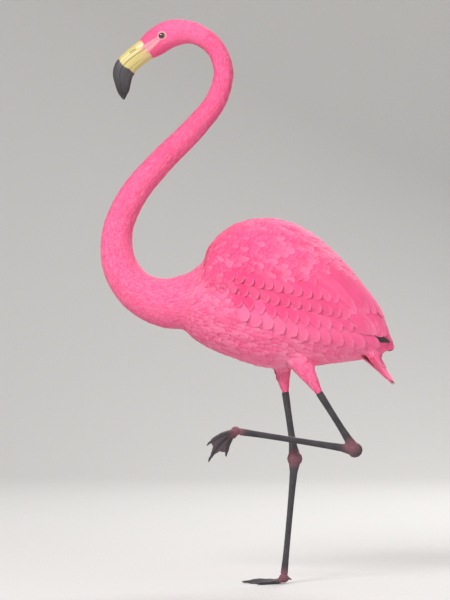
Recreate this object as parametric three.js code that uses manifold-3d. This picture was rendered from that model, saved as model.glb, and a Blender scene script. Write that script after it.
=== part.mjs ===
// A life-size Chilean flamingo, standing on its right leg with the left one drawn up.
//
// Millimetres, +Z up. The bird faces -X and its left side faces -Y. The origin is on the
// floor under the middle of the standing foot. Every solid gives the outline out to the
// feather tips; neighbours keep a gap of SEAM between them.
import * as THREE from "three";
import { mergeVertices } from "three/addons/utils/BufferGeometryUtils.js";
import Module from "manifold-3d";

const wasm = await Module();
wasm.setup();

// ---- Driving dimensions -------------------------------------------------------------
const STANDING_HEIGHT = 1128; // floor to crown
const TARSUS = 240; // ankle to toe base, the lower bare segment
const TIBIA = 300; // knee, inside the body, to ankle
const BODY_DEPTH = 304; // belly to the top of the folded wings
const BODY_LENGTH = 440; // breast to wing tips
const BODY_WIDTH = 212; // over both folded wings
const BELLY_HEIGHT = 428; // floor to the lowest part of the belly
const BREAST_X = -178; // the foremost point of the breast
const BILL_LENGTH = 122; // along the gape, mouth corner to tip
const EYE_DIAMETER = 17; // of the whole ball, of which a cap shows
const EYE_SET_OUT = 15.4; // middle of the ball from the middle of the head
const MIDDLE_TOE = 84;
const WEB_THICKNESS = 2.2;
const SEAM = 0.35;

const BODY_MIDDLE = BELLY_HEIGHT + BODY_DEPTH / 2;

// ---- Materials ----------------------------------------------------------------------
const paint = (color, roughness) => new THREE.MeshStandardMaterial({ color, roughness, metalness: 0 });
const PLUMAGE = paint(0xea6894, 0.85);
const HORN_PALE = paint(0xe4d592, 0.4);
const LEG_SKIN = paint(0x5c5c60, 0.55);
const WEB_SKIN = paint(0x6b5f62, 0.6);
const CLAW = paint(0x2b2a2c, 0.4);
const EYE = paint(0x14110f, 0.08);

// ---- Small helpers ------------------------------------------------------------------
const at = (x, y, z) => new THREE.Vector3(x, y, z);
const along = (a, b, t) => a.clone().lerp(b, t);
const smoothLine = (points) => new THREE.CatmullRomCurve3(points, false, "centripetal");

// A smooth curve through [place, value, value, ...] stops, read at any place between them.
function profile(stops) {
  const tangent = (i, k) => {
    if (i === 0 || i === stops.length - 1) return 0;
    const before = (stops[i][k] - stops[i - 1][k]) / (stops[i][0] - stops[i - 1][0]);
    const after = (stops[i + 1][k] - stops[i][k]) / (stops[i + 1][0] - stops[i][0]);
    return (before + after) / 2;
  };
  return (place) => {
    let i = stops.findIndex((stop) => stop[0] > place);
    i = i < 0 ? stops.length - 2 : Math.max(0, i - 1);
    const step = stops[i + 1][0] - stops[i][0];
    const t = THREE.MathUtils.clamp((place - stops[i][0]) / step, 0, 1);
    return stops[i].slice(1).map((from, j) => {
      const to = stops[i + 1][j + 1];
      const [m0, m1] = [tangent(i, j + 1) * step, tangent(i + 1, j + 1) * step];
      const a = 2 * t ** 3 - 3 * t ** 2 + 1;
      const b = t ** 3 - 2 * t ** 2 + t;
      const c = t ** 3 - t ** 2;
      return a * from + b * m0 + (1 - a) * to + c * m1;
    });
  };
}

// A closed surface through rings of equal count, capped by a fan at each end.
function loftGeometry(rings) {
  const count = rings[0].length;
  const middle = (ring) => ring.reduce((sum, p) => sum.add(p), at(0, 0, 0)).divideScalar(count);
  const points = [...rings.flat(), middle(rings[0]), middle(rings.at(-1))];
  const faces = [];
  for (let i = 0; i < rings.length - 1; i++)
    for (let j = 0; j < count; j++) {
      const k = (j + 1) % count;
      const [a, b, c, d] = [i * count + j, i * count + k, (i + 1) * count + j, (i + 1) * count + k];
      faces.push(a, b, d, a, d, c);
    }
  const last = (rings.length - 1) * count;
  for (let j = 0; j < count; j++) {
    const k = (j + 1) % count;
    faces.push(points.length - 2, k, j, points.length - 1, last + j, last + k);
  }
  return new THREE.BufferGeometry()
    .setAttribute("position", new THREE.Float32BufferAttribute(points.flatMap((p) => [p.x, p.y, p.z]), 3))
    .setIndex(faces);
}

// A three.js geometry as a solid, turned the right way out.
function solid(geometry) {
  const bare = geometry.clone();
  bare.deleteAttribute("normal");
  bare.deleteAttribute("uv");
  const merged = mergeVertices(bare, 1e-3);
  const make = (triVerts) =>
    new wasm.Manifold(
      new wasm.Mesh({ numProp: 3, vertProperties: merged.attributes.position.array, triVerts }),
    );
  const faces = new Uint32Array(merged.index.array);
  const made = make(faces);
  if (made.volume() > 0) return made;
  for (let i = 0; i < faces.length; i += 3) [faces[i + 1], faces[i + 2]] = [faces[i + 2], faces[i + 1]];
  return make(faces);
}

// The largest single body of a cut solid.
const largest = (made) => made.decompose().sort((a, b) => b.volume() - a.volume())[0];

// What lies on the +side of the plane through point, facing normal, SEAM / 2 away from it.
const beyond = (made, point, normal) =>
  made.trimByPlane(normal.clone().normalize().toArray(), normal.clone().normalize().dot(point) + SEAM / 2);

function meshOf(name, made, material) {
  const { numProp, vertProperties, triVerts } = made.getMesh();
  const positions = new Float32Array((vertProperties.length / numProp) * 3);
  for (let i = 0; i < positions.length / 3; i++)
    positions.set(vertProperties.subarray(i * numProp, i * numProp + 3), i * 3);
  const geometry = new THREE.BufferGeometry()
    .setAttribute("position", new THREE.BufferAttribute(positions, 3))
    .setIndex(new THREE.BufferAttribute(triVerts, 1));
  const mesh = new THREE.Mesh(geometry, material);
  mesh.name = name;
  return mesh;
}

// One ring in the plane spanned by rise and across: above and below set its two half heights
// along rise, half its half width.
function ring(centre, rise, across, [above, below, half], count) {
  return Array.from({ length: count }, (_, j) => {
    const angle = (2 * Math.PI * j) / count;
    const up = Math.cos(angle) * (Math.cos(angle) > 0 ? above : below);
    return centre.clone().addScaledVector(rise, up).addScaledVector(across, Math.sin(angle) * half);
  });
}

// A limb between two points in space. sizes maps 0..1 to [front, back, half].
function limb(from, to, sizes, { steps, sides }) {
  const axis = to.clone().sub(from).normalize();
  const across = at(0, 1, 0).addScaledVector(axis, -axis.y).normalize();
  const front = across.clone().cross(axis);
  if (front.x > 0) front.negate();
  const rings = [];
  for (let i = 0; i <= steps; i++)
    rings.push(ring(along(from, to, i / steps), front, across, sizes(i / steps), sides));
  return solid(loftGeometry(rings));
}

// ---- Trunk --------------------------------------------------------------------------
// Stations from breast to vent: share of BODY_LENGTH, axis height, above, below, half width,
// the last four as shares of BODY_DEPTH and BODY_WIDTH.
const TRUNK_STOPS = [
  [0.0, -0.07, 0.02, 0.02, 0.02],
  [0.03, -0.07, 0.15, 0.15, 0.2],
  [0.11, -0.06, 0.26, 0.27, 0.32],
  [0.26, -0.03, 0.36, 0.4, 0.415],
  [0.42, 0.0, 0.4, 0.5, 0.44],
  [0.58, -0.03, 0.375, 0.462, 0.43],
  [0.73, -0.12, 0.33, 0.345, 0.37],
  [0.85, -0.24, 0.235, 0.2, 0.27],
  [0.93, -0.31, 0.15, 0.11, 0.17],
  [0.97, -0.345, 0.03, 0.03, 0.04],
];
const trunkAt = profile(TRUNK_STOPS);
function trunkSolid(grow = 0) {
  const [steps, sides] = [16, 20];
  const last = TRUNK_STOPS.at(-1)[0];
  const rings = [];
  for (let i = 0; i <= steps; i++) {
    const share = (last * (1 - Math.cos((Math.PI * i) / steps))) / 2;
    const [height, above, below, half] = trunkAt(share);
    const end = i === 0 ? -grow : i === steps ? grow : 0;
    const centre = at(BREAST_X + share * BODY_LENGTH + end, 0, BODY_MIDDLE + height * BODY_DEPTH);
    const size = [above * BODY_DEPTH + grow, below * BODY_DEPTH + grow, half * BODY_WIDTH + grow];
    rings.push(ring(centre, at(0, 0, 1), at(0, 1, 0), size, sides));
  }
  return solid(loftGeometry(rings));
}

// ---- Neck and head ------------------------------------------------------------------
// The middle line from inside the breast, forward and round the low bend, up the long
// slanting stretch, over the crest and down into the face: x aft of the breast, z over the
// floor, then [above, below, half] there.
const NECK_LINE = [
  [62, 574, 56, 62, 52],
  [-14, 563, 49, 53, 46],
  [-72, 584, 41, 43, 39],
  [-110, 638, 35, 37, 34],
  [-114, 706, 31, 32, 30],
  [-84, 776, 28.5, 29.5, 27.5],
  [-28, 844, 26.5, 27, 25],
  [36, 908, 24.5, 25, 23],
  [83, 968, 22.5, 23, 21],
  [97, 1026, 21, 21.5, 19.3],
  [77, 1076, 20.5, 21, 18.5],
  [33, 1101, 24, 22.5, 19.8],
  [-9, 1098, 29.5, 27, 22.5],
  [-42, 1080, 27.5, 27.5, 21],
  [-66, 1064, 21, 23.5, 16.8],
];
const neckTop = NECK_LINE.reduce((top, [, z, above]) => Math.max(top, z + above), 0);
const neckLift = STANDING_HEIGHT - neckTop;
const neckCurve = smoothLine(NECK_LINE.map(([x, z]) => at(BREAST_X + x, 0, z + neckLift)));
const SPANS = NECK_LINE.length - 1;
const SAMPLES = 60; // curve samples to each span, so that a stop's share can be looked up
neckCurve.arcLengthDivisions = SPANS * SAMPLES;
const neckLengths = neckCurve.getLengths();
const NECK_LENGTH = neckLengths.at(-1);
const shareOf = (stop) => neckLengths[Math.round(stop * SAMPLES)] / NECK_LENGTH;
const neckSizes = profile(NECK_LINE.map(([, , ...size], i) => [shareOf(i), ...size]));

const NECK_RINGS = 44; // to the whole line
const NECK_SIDES = 14;

// One length of the neck, or the head, between two shares of the whole line.
function neckStretch(from, to, grow = 0) {
  const steps = Math.max(4, Math.round((to - from) * NECK_RINGS));
  const rings = [];
  for (let i = 0; i <= steps; i++) {
    const u = THREE.MathUtils.lerp(from, to, i / steps);
    const tangent = neckCurve.getTangentAt(u);
    const rise = at(tangent.z, 0, -tangent.x);
    const sizes = neckSizes(u).map((r) => r + grow);
    rings.push(ring(neckCurve.getPointAt(u), rise, at(0, 1, 0), sizes, NECK_SIDES));
  }
  return solid(loftGeometry(rings));
}
const HEAD_FROM = shareOf(10.6);
const UPPER_FROM = shareOf(7.5);
const MIDDLE_FROM = shareOf(4);
const SEAM_SHARE = SEAM / NECK_LENGTH;

// ---- Bill ---------------------------------------------------------------------------
// The gape line from the mouth corner, forward and then sharply down at the bend: x and z as
// shares of BILL_LENGTH, then the depth of the upper and of the lower half, and the half width.
const GAPE_LINE = [
  [0.0, 0.0, 21, 23.5, 16.3],
  [-0.146, -0.098, 19.5, 24, 15.6],
  [-0.283, -0.206, 18, 25.5, 15],
  [-0.362, -0.3, 17, 27, 14.8],
  [-0.395, -0.4, 15.5, 26, 14],
  [-0.39, -0.54, 12, 21.5, 12],
  [-0.363, -0.696, 8.5, 14, 9],
  [-0.335, -0.815, 3, 3.6, 3],
];
const FACE_END = neckCurve.getPointAt(1);
const FACE_WAY = neckCurve.getTangentAt(1);
const BILL_OVERLAP = 6; // the bill is lofted from this far inside the face, then cut flat against it
const BILL_ROOT = FACE_END.clone().addScaledVector(FACE_WAY, -BILL_OVERLAP);
const billCurve = smoothLine(
  GAPE_LINE.map(([x, z]) => at(x * BILL_LENGTH, 0, z * BILL_LENGTH).add(BILL_ROOT)),
);
const billLengths = billCurve.getLengths(SAMPLES * (GAPE_LINE.length - 1));
const billSizes = profile(
  GAPE_LINE.map(([, , ...size], i) => [billLengths[SAMPLES * i] / billLengths.at(-1), ...size]),
);

// One half of the bill: the half ring on its side of the gape, closed flat along it.
function billHalf(side) {
  const [steps, sides] = [15, 9];
  const rings = [];
  for (let i = 0; i <= steps; i++) {
    const u = i / steps;
    const tangent = billCurve.getTangentAt(u);
    const rise = at(tangent.z, 0, -tangent.x).multiplyScalar(side);
    const [above, below, half] = billSizes(u);
    const depth = side > 0 ? above : below;
    const centre = billCurve.getPointAt(u);
    rings.push(
      Array.from({ length: sides }, (_, j) => {
        const angle = (Math.PI * j) / (sides - 1);
        const arch = Math.sin(angle) ** 0.8;
        return centre.clone()
          .addScaledVector(rise, SEAM / 2 + (depth - SEAM / 2) * arch)
          .setY(Math.cos(angle) * half);
      }),
    );
  }
  return beyond(solid(loftGeometry(rings)), FACE_END.clone().addScaledVector(FACE_WAY, SEAM / 2), FACE_WAY);
}

// ---- Wings and tail -----------------------------------------------------------------
// A folded wing with its scapulars hangs over the side of the trunk from the back's middle.
// Stations: share of BODY_LENGTH, axis height, above, below, half width.
const WING_STOPS = [
  [0.1, 0.1, 0.02, 0.02, 0.24],
  [0.125, 0.1, 0.155, 0.13, 0.33],
  [0.21, 0.12, 0.3, 0.25, 0.43],
  [0.35, 0.12, 0.388, 0.34, 0.488],
  [0.5, 0.1, 0.4, 0.38, 0.5],
  [0.64, 0.035, 0.368, 0.345, 0.47],
  [0.78, -0.09, 0.305, 0.245, 0.39],
  [0.89, -0.215, 0.23, 0.15, 0.28],
  [0.97, -0.305, 0.115, 0.08, 0.17],
  [1.0, -0.345, 0.025, 0.025, 0.075],
];
const wingAt = profile(WING_STOPS);
const WING_TIP_SHARE = 0.9; // aft of this the folded flight feathers show
const CLEFT = 2.2; // between the two wings down the back
function wingSolid(side) {
  const [steps, sides] = [14, 18];
  const rings = [];
  for (let i = 0; i <= steps; i++) {
    const share = 0.1 + (0.9 * (1 - Math.cos((Math.PI * i) / steps))) / 2;
    const [height, above, below, half] = wingAt(share);
    const centre = at(BREAST_X + share * BODY_LENGTH, 0, BODY_MIDDLE + height * BODY_DEPTH);
    const size = [above * BODY_DEPTH, below * BODY_DEPTH, half * BODY_WIDTH];
    rings.push(ring(centre, at(0, 0, 1), at(0, 1, 0), size, sides));
  }
  const clear = solid(loftGeometry(rings))
    .subtract(trunkSolid(SEAM))
    .subtract(neckStretch(0, MIDDLE_FROM, SEAM))
    .subtract(tailSolid(SEAM));
  return largest(clear.trimByPlane([0, side, 0], CLEFT / 2));
}

const TAIL_ROOT = at(BREAST_X + 0.83 * BODY_LENGTH, 0, BODY_MIDDLE - 0.26 * BODY_DEPTH);
const TAIL_TIP = at(BREAST_X + 0.985 * BODY_LENGTH, 0, BELLY_HEIGHT - 0.085 * BODY_DEPTH);
const tailSizes = profile([
  [0, 14, 14, 38],
  [0.35, 17, 17, 42],
  [0.7, 11, 11, 40],
  [0.93, 5, 5, 30],
  [1, 1.2, 1.2, 16],
]);
function tailSolid(grow = 0) {
  const sizes = (t) => tailSizes(t).map((r) => r + grow);
  const axis = TAIL_TIP.clone().sub(TAIL_ROOT).normalize();
  const end = TAIL_TIP.clone().addScaledVector(axis, grow);
  return limb(TAIL_ROOT, end, sizes, { steps: 7, sides: 14 });
}

// ---- Legs ---------------------------------------------------------------------------
const TOE_BASE_HEIGHT = 11;
const standing = (() => {
  const toeBase = at(40, 0, TOE_BASE_HEIGHT);
  const lean = at(22, 10, 0);
  const ankle = toeBase.clone().add(lean).setZ(toeBase.z + Math.sqrt(TARSUS ** 2 - lean.lengthSq()));
  const slant = at(-42, 24, 0);
  const knee = ankle.clone().add(slant).setZ(ankle.z + Math.sqrt(TIBIA ** 2 - slant.lengthSq()));
  return { toeBase, ankle, knee };
})();
const raised = (() => {
  const knee = at(standing.knee.x + 2, -34, standing.knee.z - 22);
  const slope = THREE.MathUtils.degToRad(58);
  const ankle = knee.clone().add(at(Math.cos(slope), 0.02, -Math.sin(slope)).setLength(TIBIA));
  const rise = THREE.MathUtils.degToRad(9);
  const toeBase = ankle.clone().add(at(-Math.cos(rise), 0.01, Math.sin(rise)).setLength(TARSUS));
  return { knee, ankle, toeBase };
})();

const THIGH_END = 0.55; // share of the tibia that carries feathers
const ANKLE_REACH = 27; // the joint's knob and necks, each way from its middle
const TOE_REACH = 9;

// Shares down each bone, then half sizes to the front, the back and the side.
const SHIN_STOPS = [
  [0, 7.4, 7.4, 6.8],
  [0.5, 6.4, 6.6, 5.8],
  [0.85, 6.8, 7.2, 6.2],
  [1, 8, 8.4, 7],
];
const TARSUS_STOPS = [
  [0, 7.8, 8.2, 6.8],
  [0.15, 6.6, 7, 5.9],
  [0.5, 5.8, 6.2, 5],
  [0.85, 6.2, 6.4, 5.4],
  [1, 7.6, 7.2, 7],
];

// The tarsus from the ankle's neck to the toe joint.
function tarsusSolid({ ankle, toeBase }, grow = 0) {
  const from = along(ankle, toeBase, (ANKLE_REACH + SEAM) / TARSUS);
  const to = along(ankle, toeBase, 1 - (TOE_REACH + SEAM) / TARSUS);
  const sizes = profile(TARSUS_STOPS);
  return limb(from, to, (t) => sizes(t).map((r) => r + grow), { steps: 7, sides: 10 });
}

function legSolids({ knee, ankle, toeBase }) {
  const shinFrom = along(knee, ankle, THIGH_END + SEAM / TIBIA);
  const shinTo = along(knee, ankle, 1 - (ANKLE_REACH + SEAM) / TIBIA);
  const thighSizes = profile([
    [0, 34, 34, 25],
    [0.3, 33, 34, 25],
    [0.6, 23, 25, 20],
    [0.85, 14, 15, 13],
    [1, 8.5, 9, 8.5],
  ]);
  return {
    thigh: limb(knee, along(knee, ankle, THIGH_END), thighSizes, { steps: 8, sides: 14 }),
    shin: limb(shinFrom, shinTo, profile(SHIN_STOPS), { steps: 5, sides: 10 }),
    tarsus: tarsusSolid({ ankle, toeBase }),
  };
}

// The knob at the ankle: a ball flattened side to side, with a tapering neck to each bone.
function ankleSolid({ knee, ankle, toeBase }) {
  const ball = new THREE.SphereGeometry(1, 12, 8).scale(15.5, 11.5, 15.5).translate(...ankle.toArray());
  const neckTo = (end, size) => {
    const sizes = profile([
      [0, 13, 13, 10.5],
      [1, ...size],
    ]);
    return limb(ankle, end, sizes, { steps: 2, sides: 10 });
  };
  return solid(ball)
    .add(neckTo(along(ankle, knee, ANKLE_REACH / TIBIA), SHIN_STOPS.at(-1).slice(1)))
    .add(neckTo(along(ankle, toeBase, ANKLE_REACH / TARSUS), TARSUS_STOPS[0].slice(1)));
}

// ---- Feet ---------------------------------------------------------------------------
// Each toe's length as a share of the middle toe, and the angle it spreads from straight
// ahead, positive away from the bird's middle.
const TOES = {
  inner: { length: 0.8, spread: -31 },
  middle: { length: 1, spread: 0 },
  outer: { length: 0.9, spread: 31 },
};
const CLAW_LENGTH = 9;
const WEB_REACH = 0.86; // share of each toe that the web is grown to
const WEB_DROP = 2.1; // the web of a standing foot lies on the floor, under the toes' lines
const toeSizes = profile([
  [0, 5.6, 5.6, 6],
  [0.3, 4.6, 4.6, 5],
  [0.36, 5.1, 5, 5.4],
  [0.65, 4.2, 4.2, 4.6],
  [0.7, 4.7, 4.6, 5],
  [1, 3.2, 3.2, 3.4],
]);

const TOE_REST_HEIGHT = 3.5; // a toe's middle line over the floor it presses on
const TOE_SLOPE_LENGTH = 24; // over which it comes down from the joint

// A toe's line in space. A raised toe turns down by droop(share) degrees; with no droop the
// toe comes down to the floor and lies along it.
function toeLine(toeBase, outward, { length, spread }, droop) {
  const steps = 8;
  const step = (length * MIDDLE_TOE) / steps;
  const turn = THREE.MathUtils.degToRad(spread) * outward;
  const points = [toeBase.clone()];
  for (let i = 0; i < steps; i++) {
    const down = droop ? THREE.MathUtils.degToRad(droop(i / steps)) : 0;
    const ahead = at(-Math.cos(turn) * Math.cos(down), Math.sin(turn), -Math.sin(down) * Math.cos(turn));
    const next = points.at(-1).clone().addScaledVector(ahead, step);
    const left = Math.max(0, 1 - ((i + 1) * step) / TOE_SLOPE_LENGTH);
    if (!droop) next.setZ(TOE_REST_HEIGHT + (toeBase.z - TOE_REST_HEIGHT) * left ** 2);
    points.push(next);
  }
  return smoothLine(points);
}

function rod(curve, sizes, from, to, { steps, sides, grow = 0 }) {
  const rings = [];
  for (let i = 0; i <= steps; i++) {
    const u = THREE.MathUtils.lerp(from, to, i / steps);
    const tangent = curve.getTangentAt(u);
    const across = at(0, 0, 1).cross(tangent).normalize();
    if (across.lengthSq() < 0.5) across.set(0, 1, 0);
    const rise = tangent.clone().cross(across);
    rings.push(ring(curve.getPointAt(u), rise, across, sizes(u).map((r) => r + grow), sides));
  }
  return solid(loftGeometry(rings));
}

// The skin stretched between two toes, with a hollow front edge.
function webSolid(left, right, reach) {
  const [rows, columns, start, hollow] = [6, 5, 0.1, 0.2];
  const point = (i, j) => {
    const v = j / columns;
    const u = start + (reach * (1 - hollow * Math.sin(Math.PI * v)) - start) * (i / rows);
    return along(left.getPointAt(u), right.getPointAt(u), v);
  };
  const row = (i) => Array.from({ length: columns + 1 }, (_, j) => point(i, j));
  const grid = Array.from({ length: rows + 1 }, (_, i) => row(i));
  const layer = (sign) =>
    grid.map((line, i) =>
      line.map((p, j) => {
        const du = grid[Math.min(i + 1, rows)][j].clone().sub(grid[Math.max(i - 1, 0)][j]);
        const dv = line[Math.min(j + 1, columns)].clone().sub(line[Math.max(j - 1, 0)]);
        return p.clone().addScaledVector(du.cross(dv).normalize(), (sign * WEB_THICKNESS) / 2);
      }),
    );
  const [top, bottom] = [layer(1), layer(-1)];
  const rings = top.map((line, i) => [...line, ...bottom[i].slice().reverse()]);
  return solid(loftGeometry(rings));
}

// The knob that the three toes spring from.
const toeKnob = (toeBase, grow = 0) =>
  solid(
    new THREE.SphereGeometry(1, 10, 7)
      .scale(10.5 + grow, 9.5 + grow, 9.5 + grow)
      .translate(...toeBase.toArray()),
  );

// The small hind toe, high on the back of the joint.
const HIND_TOE = 17;
function hindToe({ ankle, toeBase }) {
  const shank = ankle.clone().sub(toeBase).normalize();
  const back = at(shank.z, 0, -shank.x).normalize();
  const start = toeBase.clone().addScaledVector(shank, 4);
  const end = start.clone().addScaledVector(back.addScaledVector(shank, -0.35).normalize(), HIND_TOE);
  const sizes = profile([
    [0, 3.2, 3.2, 3],
    [0.7, 2.6, 2.6, 2.4],
    [1, 0.8, 0.8, 0.8],
  ]);
  return limb(start, end, sizes, { steps: 3, sides: 6 });
}

function footSolids(leg, outward, droops) {
  const { toeBase } = leg;
  const onFloor = !droops;
  const floorCut = (made) => (onFloor ? made.trimByPlane([0, 0, 1], 0) : made);
  const knobGap = toeKnob(toeBase, SEAM);
  const made = {};
  const lines = {};
  const gaps = {};
  for (const [name, toe] of Object.entries(TOES)) {
    lines[name] = toeLine(toeBase, outward, toe, droops?.[name]);
    gaps[name] = rod(lines[name], toeSizes, 0, 1, { steps: 9, sides: 8, grow: SEAM });
  }
  for (const name of Object.keys(TOES)) {
    const clawShare = 1 - CLAW_LENGTH / lines[name].getLength();
    const clawSizes = (u) => {
      const taper = (1 - (u - clawShare) / (1 - clawShare)) ** 0.7;
      return [0.5 + 2.3 * taper, 0.5 + 1.6 * taper, 0.5 + 2 * taper];
    };
    let toe = rod(lines[name], toeSizes, 0, clawShare, { steps: 8, sides: 8 }).subtract(knobGap);
    const earlier = Object.keys(TOES).slice(0, Object.keys(TOES).indexOf(name));
    for (const other of earlier) toe = toe.subtract(gaps[other]);
    made["toe_" + name] = largest(floorCut(toe));
    const shareGap = SEAM / lines[name].getLength();
    const claw = rod(lines[name], clawSizes, clawShare + shareGap, 1, { steps: 3, sides: 6 });
    made["claw_" + name] = largest(floorCut(claw));
  }
  const bare = (web) => {
    let left = web.subtract(knobGap);
    for (const gap of Object.values(gaps)) left = left.subtract(gap);
    return largest(floorCut(left));
  };
  const drop = onFloor ? WEB_DROP : 0;
  const under = (line) => smoothLine(line.points.map((p) => at(p.x, p.y, p.z - drop)));
  made.web_inner = bare(webSolid(under(lines.inner), under(lines.middle), WEB_REACH));
  made.web_outer = bare(webSolid(under(lines.middle), under(lines.outer), WEB_REACH));
  made.toe_joint = floorCut(toeKnob(toeBase));
  made.toe_hind = bare(hindToe(leg).subtract(tarsusSolid(leg, SEAM)));
  return made;
}

// ---- Putting the bird together ------------------------------------------------------
const flamingo = new THREE.Group();
flamingo.name = "flamingo";
const add = (name, made, material) => flamingo.add(meshOf(name, made, material));

const trunkGap = trunkSolid(SEAM);
add("trunk", trunkSolid(), PLUMAGE);
add("neck_lower", largest(neckStretch(0, MIDDLE_FROM - SEAM_SHARE).subtract(trunkGap)), PLUMAGE);
add("neck_middle", neckStretch(MIDDLE_FROM, UPPER_FROM - SEAM_SHARE), PLUMAGE);
add("neck_upper", neckStretch(UPPER_FROM, HEAD_FROM - SEAM_SHARE), PLUMAGE);

// The eyes sit in sockets in the sides of the head.
const EYE_PLACE = neckCurve.getPointAt(shareOf(12.5)).add(at(0, 0, 4.5));
const eyeBall = (side, grow) => {
  const ball = new THREE.SphereGeometry(EYE_DIAMETER / 2 + grow, 12, 8);
  return solid(ball.translate(EYE_PLACE.x, side * EYE_SET_OUT, EYE_PLACE.z));
};
add("head", neckStretch(HEAD_FROM, 1).subtract(eyeBall(-1, SEAM)).subtract(eyeBall(1, SEAM)), PLUMAGE);
add("bill_upper", billHalf(1), HORN_PALE);
add("bill_lower", billHalf(-1), HORN_PALE);

add("tail", largest(tailSolid().subtract(trunkGap)), PLUMAGE);

const SIDES = { left: -1, right: 1 };
const LEGS = { left: raised, right: standing };
const FOOT_MATERIALS = { toe: LEG_SKIN, claw: CLAW, web: WEB_SKIN };
// How far each raised toe turns down, in degrees, by its share of the way to the tip.
const RAISED_DROOPS = {
  inner: (u) => 52 + 40 * u,
  middle: (u) => 30 + 42 * u,
  outer: (u) => 8 + 38 * u,
};

for (const [name, side] of Object.entries(SIDES)) {
  add("eye_" + name, eyeBall(side, 0), EYE);

  const wing = wingSolid(side);
  const tipCut = at(BREAST_X + WING_TIP_SHARE * BODY_LENGTH, 0, 0);
  add("wing_" + name, largest(beyond(wing, tipCut, at(-1, 0, 0))), PLUMAGE);
  add("wing_tip_" + name, largest(beyond(wing, tipCut, at(1, 0, 0))), PLUMAGE);

  const leg = LEGS[name];
  const { thigh, shin, tarsus } = legSolids(leg);
  add("thigh_" + name, largest(thigh.subtract(trunkGap)), PLUMAGE);
  add("shin_" + name, shin, LEG_SKIN);
  add("ankle_" + name, ankleSolid(leg), LEG_SKIN);
  const foot = footSolids(leg, side, leg === standing ? undefined : RAISED_DROOPS);
  add("tarsus_" + name, largest(tarsus.subtract(toeKnob(leg.toeBase, SEAM))), LEG_SKIN);
  for (const [piece, made] of Object.entries(foot))
    add(piece + "_" + name, made, FOOT_MATERIALS[piece.split("_")[0]]);
}

export default flamingo;
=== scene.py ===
"""The looks of a life-size Chilean flamingo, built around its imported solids.

Places are in metres in the part's own frame: +Z up, the bird faces -X and its left side faces
-Y. Sizes named in millimetres are turned into metres by MM. One skin stands for all of the
flesh, and the plumage is made of thin closed vanes rooted on that skin.
"""

import logging
import math
from collections.abc import Callable, Sequence
from dataclasses import dataclass, field, replace
from enum import Enum
from functools import cached_property

import bmesh
import bpy
import numpy as np
from bpy.types import Material, Object
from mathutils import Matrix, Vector
from mathutils.bvhtree import BVHTree
from mathutils.kdtree import KDTree


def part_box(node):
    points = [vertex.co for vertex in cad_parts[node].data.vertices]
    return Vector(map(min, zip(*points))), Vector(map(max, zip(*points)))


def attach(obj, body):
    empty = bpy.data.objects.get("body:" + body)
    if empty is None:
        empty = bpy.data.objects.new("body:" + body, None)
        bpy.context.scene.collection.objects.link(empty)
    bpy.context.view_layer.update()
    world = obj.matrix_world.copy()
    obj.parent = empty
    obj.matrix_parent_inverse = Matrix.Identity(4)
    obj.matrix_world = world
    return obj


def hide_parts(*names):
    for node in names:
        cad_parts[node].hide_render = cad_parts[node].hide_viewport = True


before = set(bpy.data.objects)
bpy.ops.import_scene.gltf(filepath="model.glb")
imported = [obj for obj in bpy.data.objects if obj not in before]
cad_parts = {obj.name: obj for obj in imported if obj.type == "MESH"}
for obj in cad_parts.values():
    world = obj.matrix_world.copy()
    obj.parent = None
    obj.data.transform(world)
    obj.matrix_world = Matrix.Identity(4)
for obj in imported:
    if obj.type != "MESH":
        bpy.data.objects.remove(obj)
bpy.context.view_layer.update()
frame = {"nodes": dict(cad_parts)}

log = logging.getLogger("flamingo")

MM = 0.001
ROOT_BODY = "root"
BAKE_MAP = "OFBake"
BAKE_PATCH = 0.003  # how far one vane spreads on the bake map
SIDES = ((-1, "left"), (1, "right"))
FRONT_TOES = ("inner", "middle", "outer")
ACROSS = np.array([0, 1.0, 0])  # towards the bird's right

Array = np.ndarray
Meshed = tuple[Array, Array]  # vertices and triangles, one row each
Spacing = Callable[[Array], Array | float]  # how far apart feathers grow at a list of places
Colour = tuple[float, float, float, float]


# ---- Small helpers ----
def unit(vectors: Array) -> Array:
    """Returns the vectors at length 1, with a zero vector left as it is."""
    return vectors / np.maximum(np.linalg.norm(vectors, axis=-1, keepdims=True), 1e-12)


def dot(a: Array, b: Array) -> Array:
    """Returns the dot products of two lists of vectors, as a column."""
    return (a * b).sum(-1, keepdims=True)


def ease(low: float, high: float, value: Array) -> Array:
    """Returns shares that go smoothly from 0 to 1 as a value passes from low to high."""
    t = np.clip((value - low) / (high - low), 0, 1)
    return t * t * (3 - 2 * t)


def hump(value: Array, middle: float, width: float) -> Array:
    """Returns shares that are 1 at the middle and fall away smoothly over a width."""
    return np.exp(-(((value - middle) / width) ** 2))


def between(at: Array, stops: Array, rows: Array) -> Array:
    """Returns rows of values read on straight lines between those at the stops."""
    return np.stack([np.interp(at, stops, column) for column in rows.T], 1)


def linear(red: int, green: int, blue: int) -> Colour:
    """Returns the linear colour that shaders take for a display colour of 0 to 255."""
    shares = (channel / 255 for channel in (red, green, blue))
    return (*(c / 12.92 if c <= 0.04045 else ((c + 0.055) / 1.055) ** 2.4 for c in shares), 1.0)


def middle_of(node: str) -> Array:
    """Returns the middle of a solid's box."""
    return sum(np.array(corner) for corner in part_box(node)) / 2


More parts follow.
